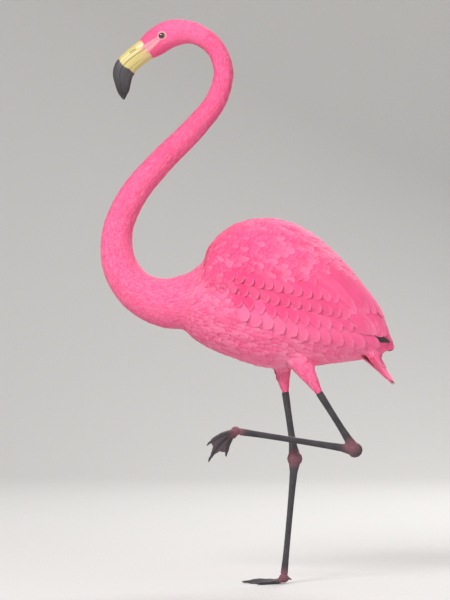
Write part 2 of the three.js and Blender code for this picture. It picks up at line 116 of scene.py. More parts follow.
def mesh_object(name: str, points: Array, faces: Array) -> Object:
    """Makes a smooth object from arrays and links it to the scene.

    Args:
        name: The object's name.
        points: The vertices, one row each.
        faces: The faces, one row of 3 or 4 vertex numbers each.

    Returns:
        The new object.
    """
    mesh = bpy.data.meshes.new(name)
    mesh.vertices.add(len(points))
    mesh.vertices.foreach_set("co", points.astype(np.float32).ravel())
    mesh.loops.add(faces.size)
    mesh.loops.foreach_set("vertex_index", faces.astype(np.int32).ravel())
    mesh.polygons.add(len(faces))
    starts = np.arange(0, faces.size, faces.shape[1], dtype=np.int32)
    mesh.polygons.foreach_set("loop_start", starts)
    mesh.update(calc_edges=True)
    mesh.shade_smooth()
    piece = bpy.data.objects.new(name, mesh)
    bpy.context.scene.collection.objects.link(piece)
    return piece


def used_up(draft: Object) -> Meshed:
    """Reads a draft's shape with its modifiers applied, and removes it.

    Args:
        draft: The object.

    Returns:
        Its vertices and triangles.
    """
    mesh = draft.evaluated_get(bpy.context.evaluated_depsgraph_get()).data
    points = np.zeros(len(mesh.vertices) * 3, np.float32)
    mesh.vertices.foreach_get("co", points)
    mesh.calc_loop_triangles()
    faces = np.zeros(len(mesh.loop_triangles) * 3, np.int32)
    mesh.loop_triangles.foreach_get("vertices", faces)
    bpy.data.objects.remove(draft)
    return points.reshape(-1, 3).astype(float), faces.reshape(-1, 3)


def grid_faces(rows: int, columns: int, closed: bool = False) -> Array:
    """Numbers the faces of a grid of vertices laid out row by row.

    Args:
        rows: How many rows of vertices.
        columns: How many vertices in each row.
        closed: Whether the last column joins the first, as round a tube.

    Returns:
        One row of four vertex numbers for each face.
    """
    row, column = np.meshgrid(np.arange(rows - 1), np.arange(columns - (not closed)), indexing="ij")
    after = (column + 1) % columns
    here, ahead = row * columns, (row + 1) * columns
    return np.stack([here + column, here + after, ahead + after, ahead + column], -1).reshape(-1, 4)


def tube_object(name: str, rings: Array, way: int = 1) -> Object:
    """Makes an object from rings of vertices, with both of its ends filled.

    Args:
        name: The object's name.
        rings: The vertices, by ring and place round it.
        way: -1 to number the faces the other way round.

    Returns:
        The new object.
    """
    faces = grid_faces(*rings.shape[:2], closed=True)[:, ::way]
    piece = mesh_object(name, rings.reshape(-1, 3), faces)
    shape = bmesh.new()
    shape.from_mesh(piece.data)
    bmesh.ops.holes_fill(shape, edges=[e for e in shape.edges if e.is_boundary])
    bmesh.ops.recalc_face_normals(shape, faces=shape.faces)
    shape.to_mesh(piece.data)
    shape.free()
    piece.data.shade_smooth()
    return piece


def finish_piece(
    piece: Object,
    slot: str,
    materials: Sequence[Material],
    replaces: Sequence[str] = (),
    **marks: Array,
) -> None:
    """Dresses a finished piece, fastens it to the body and hides the solids that it replaces.

    Args:
        piece: The object, in place.
        slot: Not used.
        materials: Its finishes, in the order of their numbers.
        replaces: The names of the solids that it hides.
        marks: What the finishes read, by name: a number or a vector for each vertex.
    """
    for material in materials:
        piece.data.materials.append(material)
    for name, values in marks.items():
        kind, key = ("FLOAT", "value") if values.ndim == 1 else ("FLOAT_VECTOR", "vector")
        made = piece.data.attributes.new(name, kind, "POINT")
        made.data.foreach_set(key, values.astype(np.float32).ravel())
    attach(piece, ROOT_BODY)
    if replaces:
        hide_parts(*replaces)
    log.info("%s: %d faces", piece.name, len(piece.data.polygons))


# ---- Finishes ----
SMOOTH = {"interpolation_type": "SMOOTHSTEP"}
ROSE = linear(240, 92, 142)
DEEP_ROSE = linear(226, 60, 116)
PALE_ROSE = linear(248, 150, 182)
SKIN_PINK = linear(226, 150, 160)
# Painted shade for the folds of bare skin.
SKIN_CREASE_SHADE = linear(158, 84, 98)


class Socket:
    """A node's output that takes part in sums as a number does."""

    def __init__(self, finish: "Finish", output: bpy.types.NodeSocket) -> None:
        """Keeps the finish that new nodes go to, and the output."""
        self.finish = finish
        self.output = output

    def _math(self, operation: str, *values: "Value") -> "Socket":
        """Returns the result of one Math node over the values."""
        settings = {"operation": operation}
        return self.finish.result(0, "ShaderNodeMath", settings, dict(enumerate(values)))

    def __add__(self, other: "Value") -> "Socket":
        """Returns this plus other."""
        return self._math("ADD", self, other)

    def __mul__(self, other: "Value") -> "Socket":
        """Returns this times other."""
        return self._math("MULTIPLY", self, other)

    def __sub__(self, other: "Value") -> "Socket":
        """Returns this less other."""
        return self._math("SUBTRACT", self, other)

    def __rsub__(self, other: "Value") -> "Socket":
        """Returns other less this."""
        return self._math("SUBTRACT", other, self)

    __radd__, __rmul__ = __add__, __mul__

    def __abs__(self) -> "Socket":
        """Returns this without its sign."""
        return self._math("ABSOLUTE", self)

    def sine(self) -> "Socket":
        """Returns the sine of this."""
        return self._math("SINE", self)

    def fraction(self) -> "Socket":
        """Returns what is left over above the whole number below."""
        return self._math("FRACT", self)

    def smaller(self, other: "Value") -> "Socket":
        """Returns the smaller of this and other."""
        return self._math("MINIMUM", self, other)

    def ease(self, low: float, high: float) -> "Socket":
        """Returns a share that goes smoothly from 0 to 1 as this passes from low to high."""
        values = {"Value": self, "From Min": low, "From Max": high}
        return self.finish.result(0, "ShaderNodeMapRange", SMOOTH, values)


Value = Socket | float | int
Shade = Socket | Colour


@dataclass(frozen=True)
class Finish:
    """A material for one kind of surface, with its nodes written as expressions."""

    name: str

    @cached_property
    def blank(self) -> Material:
        """Starts the material.

        Returns:
            It, with no nodes.
        """
        material = bpy.data.materials.new(self.name)
        material.use_nodes = True
        material.node_tree.nodes.clear()
        return material

    def material(self) -> Material:
        """Returns the material, with its nodes written."""
        self.write()
        return self.blank

    def write(self) -> None:
        """Writes the finish's nodes."""
        raise NotImplementedError

    def add(self, kind: str, settings: dict, values: dict) -> bpy.types.Node:
        """Adds one node.

        Args:
            kind: The node's type.
            settings: Its properties, which are set first.
            values: What goes into its sockets, by name or number.

        Returns:
            The node.
        """
        tree = self.blank.node_tree
        node = tree.nodes.new(kind)
        for key, value in settings.items():
            setattr(node, key, value)
        for key, value in values.items():
            if isinstance(value, Socket):
                tree.links.new(value.output, node.inputs[key])
            else:
                node.inputs[key].default_value = value
        return node

    def result(self, output: int | str, kind: str, settings: dict, values: dict) -> Socket:
        """Adds one node as add does, and returns one of its outputs by name or number."""
        return Socket(self, self.add(kind, settings, values).outputs[output])

    def place(self) -> Socket:
        """Returns the point's place in the part's frame."""
        return self.result("Object", "ShaderNodeTexCoord", {}, {})

    def parts(self, vector: Socket) -> list[Socket]:
        """Returns a vector's three numbers."""
        outputs = self.add("ShaderNodeSeparateXYZ", {}, {0: vector}).outputs
        return [Socket(self, output) for output in outputs]

    def stored(self, name: str, output: str = "Fac") -> Socket:
        """Returns an attribute that the mesh carries."""
        settings = {"attribute_name": name, "attribute_type": "GEOMETRY"}
        return self.result(output, "ShaderNodeAttribute", settings, {})

    def scaled(self, vector: Socket, by: tuple[float, float, float]) -> Socket:
        """Returns a vector stretched along each axis."""
        return self.result(0, "ShaderNodeVectorMath", {"operation": "MULTIPLY"}, {0: vector, 1: by})

    def noise(self, place: Socket, scale: float, detail: float) -> Socket:
        """Returns a cloudy pattern about 0.5, with so many waves to a metre and finer layers."""
        values = {"Vector": place, "Scale": scale, "Detail": detail, "Roughness": 0.5}
        return self.result("Fac", "ShaderNodeTexNoise", {}, values)

    def cells(self, place: Socket, scale: float, feature: str) -> Socket:
        """Returns a pattern of cells, so many to a metre, by the Voronoi node's feature."""
        values = {"Vector": place, "Scale": scale}
        return self.result("Distance", "ShaderNodeTexVoronoi", {"feature": feature}, values)

    def mix(self, colour: Shade, *layers: tuple[Value, Shade]) -> Shade:
        """Lays colours one after another over a first.

        Args:
            colour: The colour underneath.
            layers: How much of each colour over it shows, and the colour.

        Returns:
            The mixed colour.
        """
        for share, layer in layers:
            values = {0: share, 6: colour, 7: layer}
            colour = self.result(2, "ShaderNodeMix", {"data_type": "RGBA"}, values)
        return colour

    def bump(self, height: Socket, depth: float) -> Socket:
        """Returns the normal of a surface raised by height times depth, in metres."""
        values = {"Height": height, "Strength": 1.0, "Distance": depth}
        return self.result(0, "ShaderNodeBump", {}, values)

    def shade(
        self, colour: Shade, roughness: Value, normal: Socket | None = None, **fixed: float
    ) -> None:
        """Ends in one Principled shader.

        Args:
            colour: The base colour.
            roughness: The roughness.
            normal: The bumped normal, if there is one.
            fixed: What is the same all over, by the socket's name with _ for a space.
        """
        values = {"Base Color": colour, "Roughness": roughness}
        values |= {key.replace("_", " "): value for key, value in fixed.items()}
        if normal is not None:
            values["Normal"] = normal
        shader = self.result(0, "ShaderNodeBsdfPrincipled", {}, values)
        self.add("ShaderNodeOutputMaterial", {}, {"Surface": shader})

    def rose(self, place: Socket) -> Socket:
        """Mixes the plumage's pink, deeper where "flush" is high, in soft clouds.

        Args:
            place: Where the clouds are read.

        Returns:
            The colour.
        """
        depth = self.stored("flush") + (self.noise(place, 14.0, 3.0) - 0.5) * 0.5
        deep, pale = depth.ease(0.45, 1.05), (0.5 - depth).ease(0.0, 0.55)
        return self.mix(ROSE, (deep, DEEP_ROSE), (pale, PALE_ROSE))

    @staticmethod
    def barbs(along: Socket, side: Socket, waves: float) -> Socket:
        """Returns a vane's slanting barbs, as waves from -1 to 1."""
        return ((along - side * 0.35) * waves).sine()


@dataclass(frozen=True)
class PlumageFinish(Finish):
    """Pink feathers.

    It reads "flush", how deep the pink is there, and "vane": the share of the way to the tip,
    the place across from -1 to 1, and a tone of the vane's own.
    """

    name: str = "plumage"
    roughness: float = 0.75
    barb_count: float = 26.0
    barb_depth: float = 0.06 * MM
    tone_share: float = 0.34

    def write(self) -> None:
        """Writes the finish's nodes."""
        along, across, tone = self.parts(self.stored("vane", "Vector"))
        side = abs(across)
        edge = (along + side * side * 0.12).ease(0.80, 1.02)
        quill = (1 - side.ease(0.0, 0.09)) * (1 - along.ease(0.75, 0.97))
        barbs = self.barbs(along, side, self.barb_count * math.tau)
        colour = self.mix(
            self.rose(self.place()),
            ((tone - 0.5).ease(0.0, 0.55) * self.tone_share, PALE_ROSE),
            ((0.5 - tone).ease(0.0, 0.55) * self.tone_share, DEEP_ROSE),
            # Painted shade: deeper pink towards the root, where the vane above overlaps it.
            ((1 - along.ease(0.1, 0.6)) * 0.35, DEEP_ROSE),
            (edge * 0.32 + quill * 0.2, PALE_ROSE),
            (barbs.ease(-1.0, 1.0) * 0.12, DEEP_ROSE),
        )
        normal = self.bump(barbs * 0.5 + quill * 1.5, self.barb_depth)
        fixed = {"Sheen_Weight": 0.12, "Sheen_Roughness": 0.6, "Specular_IOR_Level": 0.2}
        self.shade(colour, self.roughness, normal, **fixed)


@dataclass(frozen=True)
class FlightFinish(Finish):
    """The dark flight feathers that show at the wing's tip."""

    name: str = "flight_feathers"
    dark: Colour = linear(46, 40, 44)
    worn: Colour = linear(88, 74, 78)

    def write(self) -> None:
        """Writes the finish's nodes."""
        along, across, tone = self.parts(self.stored("vane", "Vector"))
        side = abs(across)
        edge = side.ease(0.75, 1.0) * 0.5 + along.ease(0.9, 1.0) * 0.4
        colour = self.mix(self.dark, (edge + (tone - 0.5) * 0.3, self.worn))
        quill = 1 - side.ease(0.0, 0.07)
        height = self.barbs(along, side, 260.0) * 0.4 + quill * 2.0
        self.shade(colour, 0.5 - 0.1 * quill, self.bump(height, 0.06 * MM))


@dataclass(frozen=True)
class HornFinish(Finish):
    """The bill: pale yellow horn with a dark end, finely lined, with a fine comb along the gape.

    It reads "bill": the share of the way along the gape, the share from gape to ridge, and how
    much of the nostril is there.
    """

    name: str = "bill_horn"
    pale: Colour = linear(198, 182, 116)
    flushed: Colour = linear(222, 172, 146)
    stain: Colour = linear(190, 162, 98)
    lip: Colour = linear(160, 126, 82)
    comb: Colour = linear(140, 108, 74)
    dark: Colour = linear(66, 64, 67)
    tip: Colour = linear(34, 33, 36)
    scuff: Colour = linear(120, 116, 114)
    # Painted shade in the nostril's slit.
    slit: Colour = linear(52, 34, 30)
    dark_from: float = 0.43
    comb_count: float = 150.0

    def write(self) -> None:
        """Writes the finish's nodes."""
        place = self.place()
        along, up, nostril = self.parts(self.stored("bill", "Vector"))
        cloud = self.noise(place, 90.0, 3.0)
        ragged = self.noise(place, 420.0, 2.0)
        front = along + (cloud - 0.5) * 0.04 + (ragged - 0.5) * 0.008 + up * 0.03
        darkness = front.ease(self.dark_from - 0.012, self.dark_from + 0.016)
        teeth = (along * (self.comb_count * math.tau)).sine() * 0.5 + 0.5
        comb = teeth * (1 - up.ease(0.03, 0.10))
        pale = self.mix(
            self.pale,
            ((1 - along.ease(0.0, 0.2)) * 0.55 * cloud, self.flushed),
            (cloud.ease(0.4, 0.8) * 0.3, self.stain),
            ((1 - up.ease(0.0, 0.1)) * 0.35, self.lip),
            (comb * 0.22, self.comb),
        )
        worn = ragged.ease(0.55, 0.8) * 0.25
        dark = self.mix(self.dark, (along.ease(0.55, 1.0), self.tip), (worn, self.scuff))
        # The nostril's dark is painted shade in its slit.
        colour = self.mix(pale, (darkness, dark), (nostril.ease(0.25, 0.8), self.slit))
        lines = self.noise(self.scaled(place, (260.0, 1400.0, 260.0)), 1.0, 3.0)
        self.shade(
            colour,
            0.34 + 0.16 * ragged + 0.06 * darkness,
            self.bump(lines * 0.7 + ragged * 0.5 - comb * 0.7, 0.16 * MM),
            Coat_Weight=0.12,
            Coat_Roughness=0.25,
            Subsurface_Weight=0.05,
            Subsurface_Scale=2 * MM,
        )


@dataclass(frozen=True)
class EyeFinish(Finish):
    """A dark eye: black pupil, a very dark brown iris with fine spokes, under a wet cornea.

    It reads "gaze", the distance from the middle of the cornea as a share of the ball.
    """

    name: str = "eye"
    pupil: float = 0.42
    iris: float = 0.74
    black: Colour = linear(4, 4, 5)
    brown: Colour = linear(38, 20, 14)
    spoke: Colour = linear(92, 52, 28)
    rim: Colour = linear(14, 9, 8)

    def write(self) -> None:
        """Writes the finish's nodes."""
        gaze = self.stored("gaze")
        spokes = self.noise(self.scaled(self.place(), (1.0, 0.1, 1.0)), 1800.0, 2.0)
        iris = self.mix(self.brown, (spokes.ease(0.3, 0.8), self.spoke))
        past_pupil = gaze.ease(self.pupil - 0.02, self.pupil + 0.03)
        past_iris = gaze.ease(self.iris - 0.06, self.iris + 0.04)
        colour = self.mix(self.black, (past_pupil, iris), (past_iris, self.rim))
        wet = {"Coat_Weight": 1.0, "Coat_Roughness": 0.02, "Specular_IOR_Level": 0.7}
        self.shade(colour, 0.12, None, **wet)


@dataclass(frozen=True)
class BareSkinFinish(Finish):
    """Bare facial skin of the lids, finely wrinkled, with painted shade in its creases."""

    name: str = "bare_skin"
    blush: Colour = linear(240, 190, 186)

    def write(self) -> None:
        """Writes the finish's nodes."""
        place = self.place()
        cloud = self.noise(place, 260.0, 3.0)
        folds = self.noise(self.scaled(place, (1.0, 1.0, 2.6)), 700.0, 2.0)
        # Painted shade in the skin's folds.
        crease_shade, blush = folds.ease(0.35, 0.7) * 0.5, cloud.ease(0.4, 0.8) * 0.3
        colour = self.mix(SKIN_PINK, (crease_shade, SKIN_CREASE_SHADE), (blush, self.blush))
        grain = self.cells(place, 1500.0, "F1") + folds * 1.5
        self.shade(colour, 0.5 + 0.15 * cloud, self.bump(grain, 0.12 * MM))


@dataclass(frozen=True)
class BodySkinFinish(Finish):
    """The skin under the plumage, pink as the feathers, and bare on the face where "bare" is 1."""

    name: str = "body_skin"

    def write(self) -> None:
        """Writes the finish's nodes."""
        place = self.place()
        fine = self.noise(place, 900.0, 3.0)
        folds = self.noise(self.scaled(place, (1.0, 1.0, 2.4)), 650.0, 2.0)
        # Painted shade in the folds of the bare face's skin.
        naked = self.mix(SKIN_PINK, (folds.ease(0.35, 0.7) * 0.5, SKIN_CREASE_SHADE))
        colour = self.mix(
            self.rose(place),
            (fine.ease(0.3, 0.8) * 0.4, DEEP_ROSE),
            (self.stored("bare"), naked),
        )
        self.shade(colour, 0.6, self.bump(fine + folds, 0.15 * MM))


@dataclass(frozen=True)
class LegSkinFinish(Finish):
    """Scaly leg skin: dark grey with dusky pink joints and webs, and painted shade in its grooves.

    It reads "leg": the count of broad scutes down the bone's front, or 0 elsewhere, how much of a
    joint is there, and how much is web.
    """

    name: str = "leg_skin"
    grey: Colour = linear(64, 61, 66)
    # Dark mottling, and painted shade in the grooves between scales and in the webs' creases.
    mottle_and_shade: Colour = linear(30, 28, 32)
    joint: Colour = linear(150, 86, 100)
    web: Colour = linear(96, 74, 82)

    def write(self) -> None:
        """Writes the finish's nodes."""
        place = self.place()
        scute, joint, web = self.parts(self.stored("leg", "Vector"))
        cloud = self.noise(place, 70.0, 3.0)
        broad = scute.ease(40.0, 60.0)
        bands = abs(scute.fraction() - 0.5).ease(0.5, 0.38)
        small = self.cells(place, 480.0, "DISTANCE_TO_EDGE").ease(0.0, 0.1)
        creases = self.noise(self.scaled(place, (1.0, 3.0, 1.0)), 330.0, 3.0)
        plates = bands * broad + small * (1 - broad)
        relief = plates * (1 - web) + creases * web * 0.8
        colour = self.mix(
            self.grey,
            (cloud.ease(0.3, 0.75) * 0.6, self.mottle_and_shade),
            (joint * (0.4 + cloud * 0.5), self.joint),
            (web * 0.85, self.web),
            # Painted shade in the webs' creases and in the grooves between the scales.
            (web * creases.ease(0.45, 0.75) * 0.5, self.mottle_and_shade),
            ((1 - relief.smaller(1.0)) * (1 - web) * 0.5, self.mottle_and_shade),
        )
        self.shade(colour, 0.45 + 0.2 * cloud, self.bump(relief, 0.25 * MM))


@dataclass(frozen=True)
class ClawFinish(Finish):
    """Blunt dark claws, worn paler at the end."""

    name: str = "claw_horn"
    dark: Colour = linear(40, 37, 40)
    worn: Colour = linear(112, 102, 98)

    def write(self) -> None:
        """Writes the finish's nodes."""
        cloud = self.noise(self.place(), 500.0, 3.0)
        colour = self.mix(self.dark, (cloud.ease(0.4, 0.75) * 0.6, self.worn))
        self.shade(colour, 0.3 + 0.25 * cloud, self.bump(cloud, 0.1 * MM))


@dataclass(frozen=True)
class StudioFinish(Finish):
    """The plain pale floor and backdrop."""

    name: str = "studio_floor"
    pale: Colour = linear(202, 200, 198)
    soft: Colour = linear(190, 188, 187)

    def write(self) -> None:
        """Writes the finish's nodes."""
        cloud = self.noise(self.place(), 3.0, 2.0)
        self.shade(self.mix(self.pale, (cloud * 0.15, self.soft)), 0.8)


# ---- Bent forms ----
class BentForm:
    """A smooth form through cross-sections, in the plane of the bird's middle."""

    SAMPLES = 60  # to each span between two stations
    STEP = 0.004  # how far to each side of a share the form's direction is measured

    def __init__(self, start: Array, scale: float, stations: Sequence[Sequence[float]]) -> None:
        """Works out the middle line and its lengths, in metres.

        Args:
            start: What x and z are counted from, in millimetres.
            scale: How many millimetres they are counted in.
            stations: Each cross-section's x and z, and its reach in millimetres to the back, to
                the throat side and to each side, from one end to the other.
        """
        rows = np.array(stations)
        x, z = (start + rows[:, :2] * scale).T * MM
        self.line = self._curve(np.stack([x, np.zeros(len(x)), z], 1))
        steps = np.linalg.norm(np.diff(self.line, axis=0), axis=1)
        lengths = np.concatenate([[0.0], np.cumsum(steps)])
        self.length = float(lengths[-1])
        self.shares = lengths / self.length
        self.stops = self.shares[:: self.SAMPLES]
        self.sizes = self._eased(rows[:, 2:] * MM)

    def _curve(self, places: Array) -> Array:
        """Draws a centripetal curve through the stations.

        Args:
            places: The stations' middles.

        Returns:
            SAMPLES points to each span, and the last station.
        """
        ends = [2 * places[0] - places[1], *places, 2 * places[-1] - places[-2]]
        out = []
        t = np.linspace(0, 1, self.SAMPLES, endpoint=False)[:, None]
        for p0, p1, p2, p3 in zip(ends, ends[1:], ends[2:], ends[3:]):
            d0, d1, d2 = (np.linalg.norm(b - a) ** 0.5 for a, b in ((p0, p1), (p1, p2), (p2, p3)))
            m1 = ((p1 - p0) / d0 - (p2 - p0) / (d0 + d1) + (p2 - p1) / d1) * d1
            m2 = ((p2 - p1) / d1 - (p3 - p1) / (d1 + d2) + (p3 - p2) / d2) * d1
            a, b = 2 * p1 - 2 * p2 + m1 + m2, -3 * p1 + 3 * p2 - 2 * m1 - m2
            out.append(a * t**3 + b * t**2 + m1 * t + p1)
        return np.concatenate([*out, places[-1:]])

    def _eased(self, values: Array) -> Array:
        """Reads values on a smooth curve between the stations.

        Args:
            values: One row for each station.

        Returns:
            One row for each point of the middle line.
        """
        stops, shares = self.stops, self.shares
        slopes = np.zeros_like(values)
        chords = np.diff(values, axis=0) / np.diff(stops)[:, None]
        slopes[1:-1] = (chords[:-1] + chords[1:]) / 2
        span = np.clip(np.searchsorted(stops, shares, side="right") - 1, 0, len(stops) - 2)
        width = (stops[span + 1] - stops[span])[:, None]
        t = np.clip((shares - stops[span])[:, None] / width, 0, 1)
        rise = 3 * t**2 - 2 * t**3
        start, end = slopes[span] * width, slopes[span + 1] * width
        bend = start * (t**3 - 2 * t**2 + t) + end * (t**3 - t**2)
        return values[span] * (1 - rise) + values[span + 1] * rise + bend

    def share_of(self, stop: float) -> float:
        """Returns the share of the length at a station's number, which may be a fraction."""
        return float(np.interp(stop, np.arange(len(self.stops)), self.stops))

    def at(self, shares: Array) -> tuple[Array, Array, Array, Array]:
        """Reads the form along its length.

        Args:
            shares: Where, from 0 to 1. Past either end the form runs straight on.

        Returns:
            The middle line's points and directions, the back's, and the three reaches.
        """
        inside = np.clip(shares, 0, 1)
        points, behind, ahead = (
            between(np.clip(inside + step, 0, 1), self.shares, self.line)
            for step in (0, -self.STEP, self.STEP)
        )
        way = unit(ahead - behind)
        back = np.stack([way[:, 2], np.zeros(len(way)), -way[:, 0]], 1)
        points = points + way * ((shares - inside) * self.length)[:, None]
        return points, way, back, between(inside, self.shares, self.sizes)

    def tube(self, rings: int, sides: int) -> Meshed:
        """Makes the form into a closed tube.

        Args:
            rings: How many rings of vertices it has.
            sides: How many vertices a ring has.

        Returns:
            The vertices and triangles.
        """
        middle, _, back, sizes = self.at(np.linspace(0, 1, rings))
        angle = np.linspace(0, 2 * np.pi, sides, endpoint=False)
        cos, sin = np.cos(angle)[None], np.sin(angle)[None]
        up = cos * np.where(cos > 0, sizes[:, :1], sizes[:, 1:2])
        out = sin * sizes[:, 2:]
        walls = middle[:, None] + back[:, None] * up[..., None] + ACROSS * out[..., None]
        points = np.concatenate([walls.reshape(-1, 3), middle[:1], middle[-1:]])
        quads = grid_faces(rings, sides, closed=True)
        here, last = np.arange(sides), (rings - 1) * sides
        after = (here + 1) % sides
        caps = [
            np.stack([a, b, np.full(sides, len(points) + end)], 1)
            for a, b, end in ((after, here, -2), (last + here, last + after, -1))
        ]
        return points, np.concatenate([quads[:, [0, 1, 2]], quads[:, [0, 2, 3]], *caps])


NECK_START = np.array([-178.0, 0.5])
NECK = BentForm(NECK_START, 1.0, (
    (62, 574, 56, 62, 52),
    (-14, 563, 49, 53, 46),
    (-72, 584, 41, 43, 39),
    (-110, 638, 35, 37, 34),
    (-114, 706, 31, 32, 30),
    (-84, 776, 28.5, 29.5, 27.5),
    (-28, 844, 26.5, 27, 25),
    (36, 908, 24.5, 25, 23),
    (83, 968, 22.5, 23, 21),
    (97, 1026, 21, 21.5, 19.3),
    (77, 1076, 20.5, 21, 18.5),
    (33, 1101, 24, 22.5, 19.8),
    (-9, 1098, 29.5, 27, 22.5),
    (-42, 1080, 27.5, 27.5, 21),
    (-66, 1064, 21, 23.5, 16.8),
))
EYE_SHARE = NECK.share_of(12.5)
EYE_RAISED = 4.5 * MM
EYE_ASIDE = 15.4 * MM
EYE_RADIUS = 8.5 * MM
BILL_OVERLAP = 6.0 * MM
FACE_POINT, FACE_WAY = (value[0] for value in NECK.at(np.array([1.0]))[:2])
BILL_START = FACE_POINT - FACE_WAY * BILL_OVERLAP


@dataclass
class EyePlace:
    """Where an eye sits, and the head's own directions there."""

    side: int
    middle: Array = field(init=False)
    forward: Array = field(init=False)
    up: Array = field(init=False)

    def __post_init__(self) -> None:
        """Reads the place from the neck's form."""
        point, way, back, _ = NECK.at(np.array([EYE_SHARE]))
        self.middle = point[0] + np.array([0, self.side * EYE_ASIDE, EYE_RAISED])
        self.forward, self.up = way[0], back[0]

    def local(self, points: Array) -> tuple[Array, Array, Array]:
        """Returns how many mm points lie ahead of the eye, above it, and out to its side."""
        off = points - self.middle
        return off @ self.forward / MM, off @ self.up / MM, points[:, 1] * self.side / MM

    @staticmethod
    def strip_height(ahead: Array, above: Array) -> Array:
        """Returns how far above the middle of the strip from eye to bill places lie, in mm."""
        return above + 1 + 0.15 * ahead


# ---- The skin ----
class Region(Enum):
    """The parts of the bird that are dressed each in their own way."""

    HEAD = "head"
    NECK = "neck"
    TRUNK = "trunk"
    WING = "wing"
    TAIL = "tail"
    THIGH = "thigh"
    SHIN = "shin"
    ANKLE = "ankle"
    TARSUS = "tarsus"
    TOE = "toe"
    WEB = "web"


BARE_LEG = (Region.SHIN, Region.ANKLE, Region.TARSUS, Region.TOE, Region.WEB)
COAT = {  # how deep the coat is over the skin, and how deep its pink
    Region.HEAD: (1.2 * MM, 0.5),
    Region.NECK: (2.4 * MM, 0.5),
    Region.TRUNK: (4.2 * MM, 0.38),
    Region.WING: (4.8 * MM, 0.62),
    Region.TAIL: (5.0 * MM, 0.42),
    Region.THIGH: (3.0 * MM, 0.4),
    Region.SHIN: (1.4 * MM, 0.4),
}


def flush_of(points: Array, regions: Array) -> Array:
    """Works out how deep the pink is, the same on skin and feathers.

    Args:
        points: The places.
        regions: Their regions.

    Returns:
        From 0, palest, to 1, deepest.
    """
    x, z = points[:, 0], points[:, 2]
    shoulder = (regions == Region.WING) * hump(x, -0.06, 0.09) * hump(z, 0.62, 0.08)
    belly = (regions == Region.TRUNK) * (1 - ease(0.44, 0.52, z))
    return np.array([COAT[region][1] for region in regions]) + 0.25 * shoulder - 0.12 * belly


def solid_arrays(node: Object, grow: float) -> Meshed:
    """Reads a solid as merged vertices and triangles.

    Args:
        node: The solid.
        grow: How far each vertex is moved outwards, so that neighbours fuse.

    Returns:
        The vertices and triangles.
    """
    shape = bmesh.new()
    shape.from_mesh(node.data)
    bmesh.ops.remove_doubles(shape, verts=shape.verts, dist=0.002 * MM)
    bmesh.ops.triangulate(shape, faces=shape.faces)
    bmesh.ops.recalc_face_normals(shape, faces=shape.faces)
    shape.normal_update()
    shape.verts.index_update()
    points = np.array([v.co + v.normal * grow for v in shape.verts])
    faces = np.array([[v.index for v in f.verts] for f in shape.faces])
    shape.free()
    return points, faces


def stacked(parts: Sequence[Meshed]) -> Meshed:
    """Returns the vertices and triangles of several shapes joined into one."""
    (points, faces), starts = zip(*parts), np.cumsum([0] + [len(p) for p, _ in parts])
    return np.concatenate(points), np.concatenate([f + start for f, start in zip(faces, starts)])


def fused(parts: Sequence[Meshed], voxel: float) -> Meshed:
    """Fuses overlapping shapes into one even surface.

    Args:
        parts: The shapes.
        voxel: The size of the new surface's faces.

    Returns:
        The new vertices and triangles.
    """
    draft = mesh_object("draft", *stacked(parts))
    remesh = draft.modifiers.new("fuse", "REMESH")
    remesh.mode = "VOXEL"
    remesh.voxel_size = voxel
    return used_up(draft)


def tree_of(points: Array, faces: Array) -> BVHTree:
    """Returns a shape's tree, in which places on it are looked up."""
    return BVHTree.FromPolygons(points.tolist(), faces.tolist())


def nearest_on(tree: BVHTree, places: Array) -> tuple[Array, Array]:
    """Returns the points of a shape nearest to places, and the numbers of their triangles."""
    found = [tree.find_nearest(place) for place in places.tolist()]
    return np.array([hit[0] for hit in found]), np.array([hit[2] for hit in found])


class Relaxer:
    """Smooths values over a surface by its edges."""

    def __init__(self, faces: Array, count: int) -> None:
        """Finds each vertex's neighbours.

        Args:
            faces: The triangles.
            count: How many vertices there are.
        """
        pairs = np.concatenate([faces[:, [0, 1]], faces[:, [1, 2]], faces[:, [2, 0]]])
        pairs = np.unique(np.sort(pairs, 1), axis=0)
        self.start = np.concatenate([pairs[:, 0], pairs[:, 1]])
        self.end = np.concatenate([pairs[:, 1], pairs[:, 0]])
        self.count = count
        self.degree = np.maximum(np.bincount(self.start, minlength=count), 1)

    def average(self, values: Array) -> Array:
        """Averages each vertex's neighbours.

        Args:
            values: One row for each vertex.

        Returns:
            The averages, in the same shape.
        """
        columns = values.reshape(self.count, -1).T
        sums = [np.bincount(self.start, column[self.end], self.count) for column in columns]
        return (np.stack(sums, 1) / self.degree[:, None]).reshape(values.shape)

    def smooth(self, values: Array, rounds: int, share: Array | float = 1.0) -> Array:
        """Smooths values without shrinking what they describe.

        Args:
            values: One row for each vertex.
            rounds: How often.
            share: How strongly, which may vary by vertex.

        Returns:
            The smoothed values.
        """
        for _ in range(rounds):
            for pull in (0.5, -0.52):
                values = values + pull * share * (self.average(values) - values)
        return values

    def spread(self, values: Array, rounds: int) -> Array:
        """Blurs values over the surface.

        Args:
            values: One row for each vertex.
            rounds: How often.

        Returns:
            The blurred values.
        """
        for _ in range(rounds):
            values = (values + self.average(values)) / 2
        return values


@dataclass
class Roots:
    """Where vanes grow: place, the skin's normal, place on the unwrap, and region."""

    points: Array
    normals: Array
    uvs: Array
    regions: Array

    def picked(self, which: Array) -> "Roots":
        """Returns some of the roots, by number or by mask."""
        return Roots(self.points[which], self.normals[which], self.uvs[which], self.regions[which])


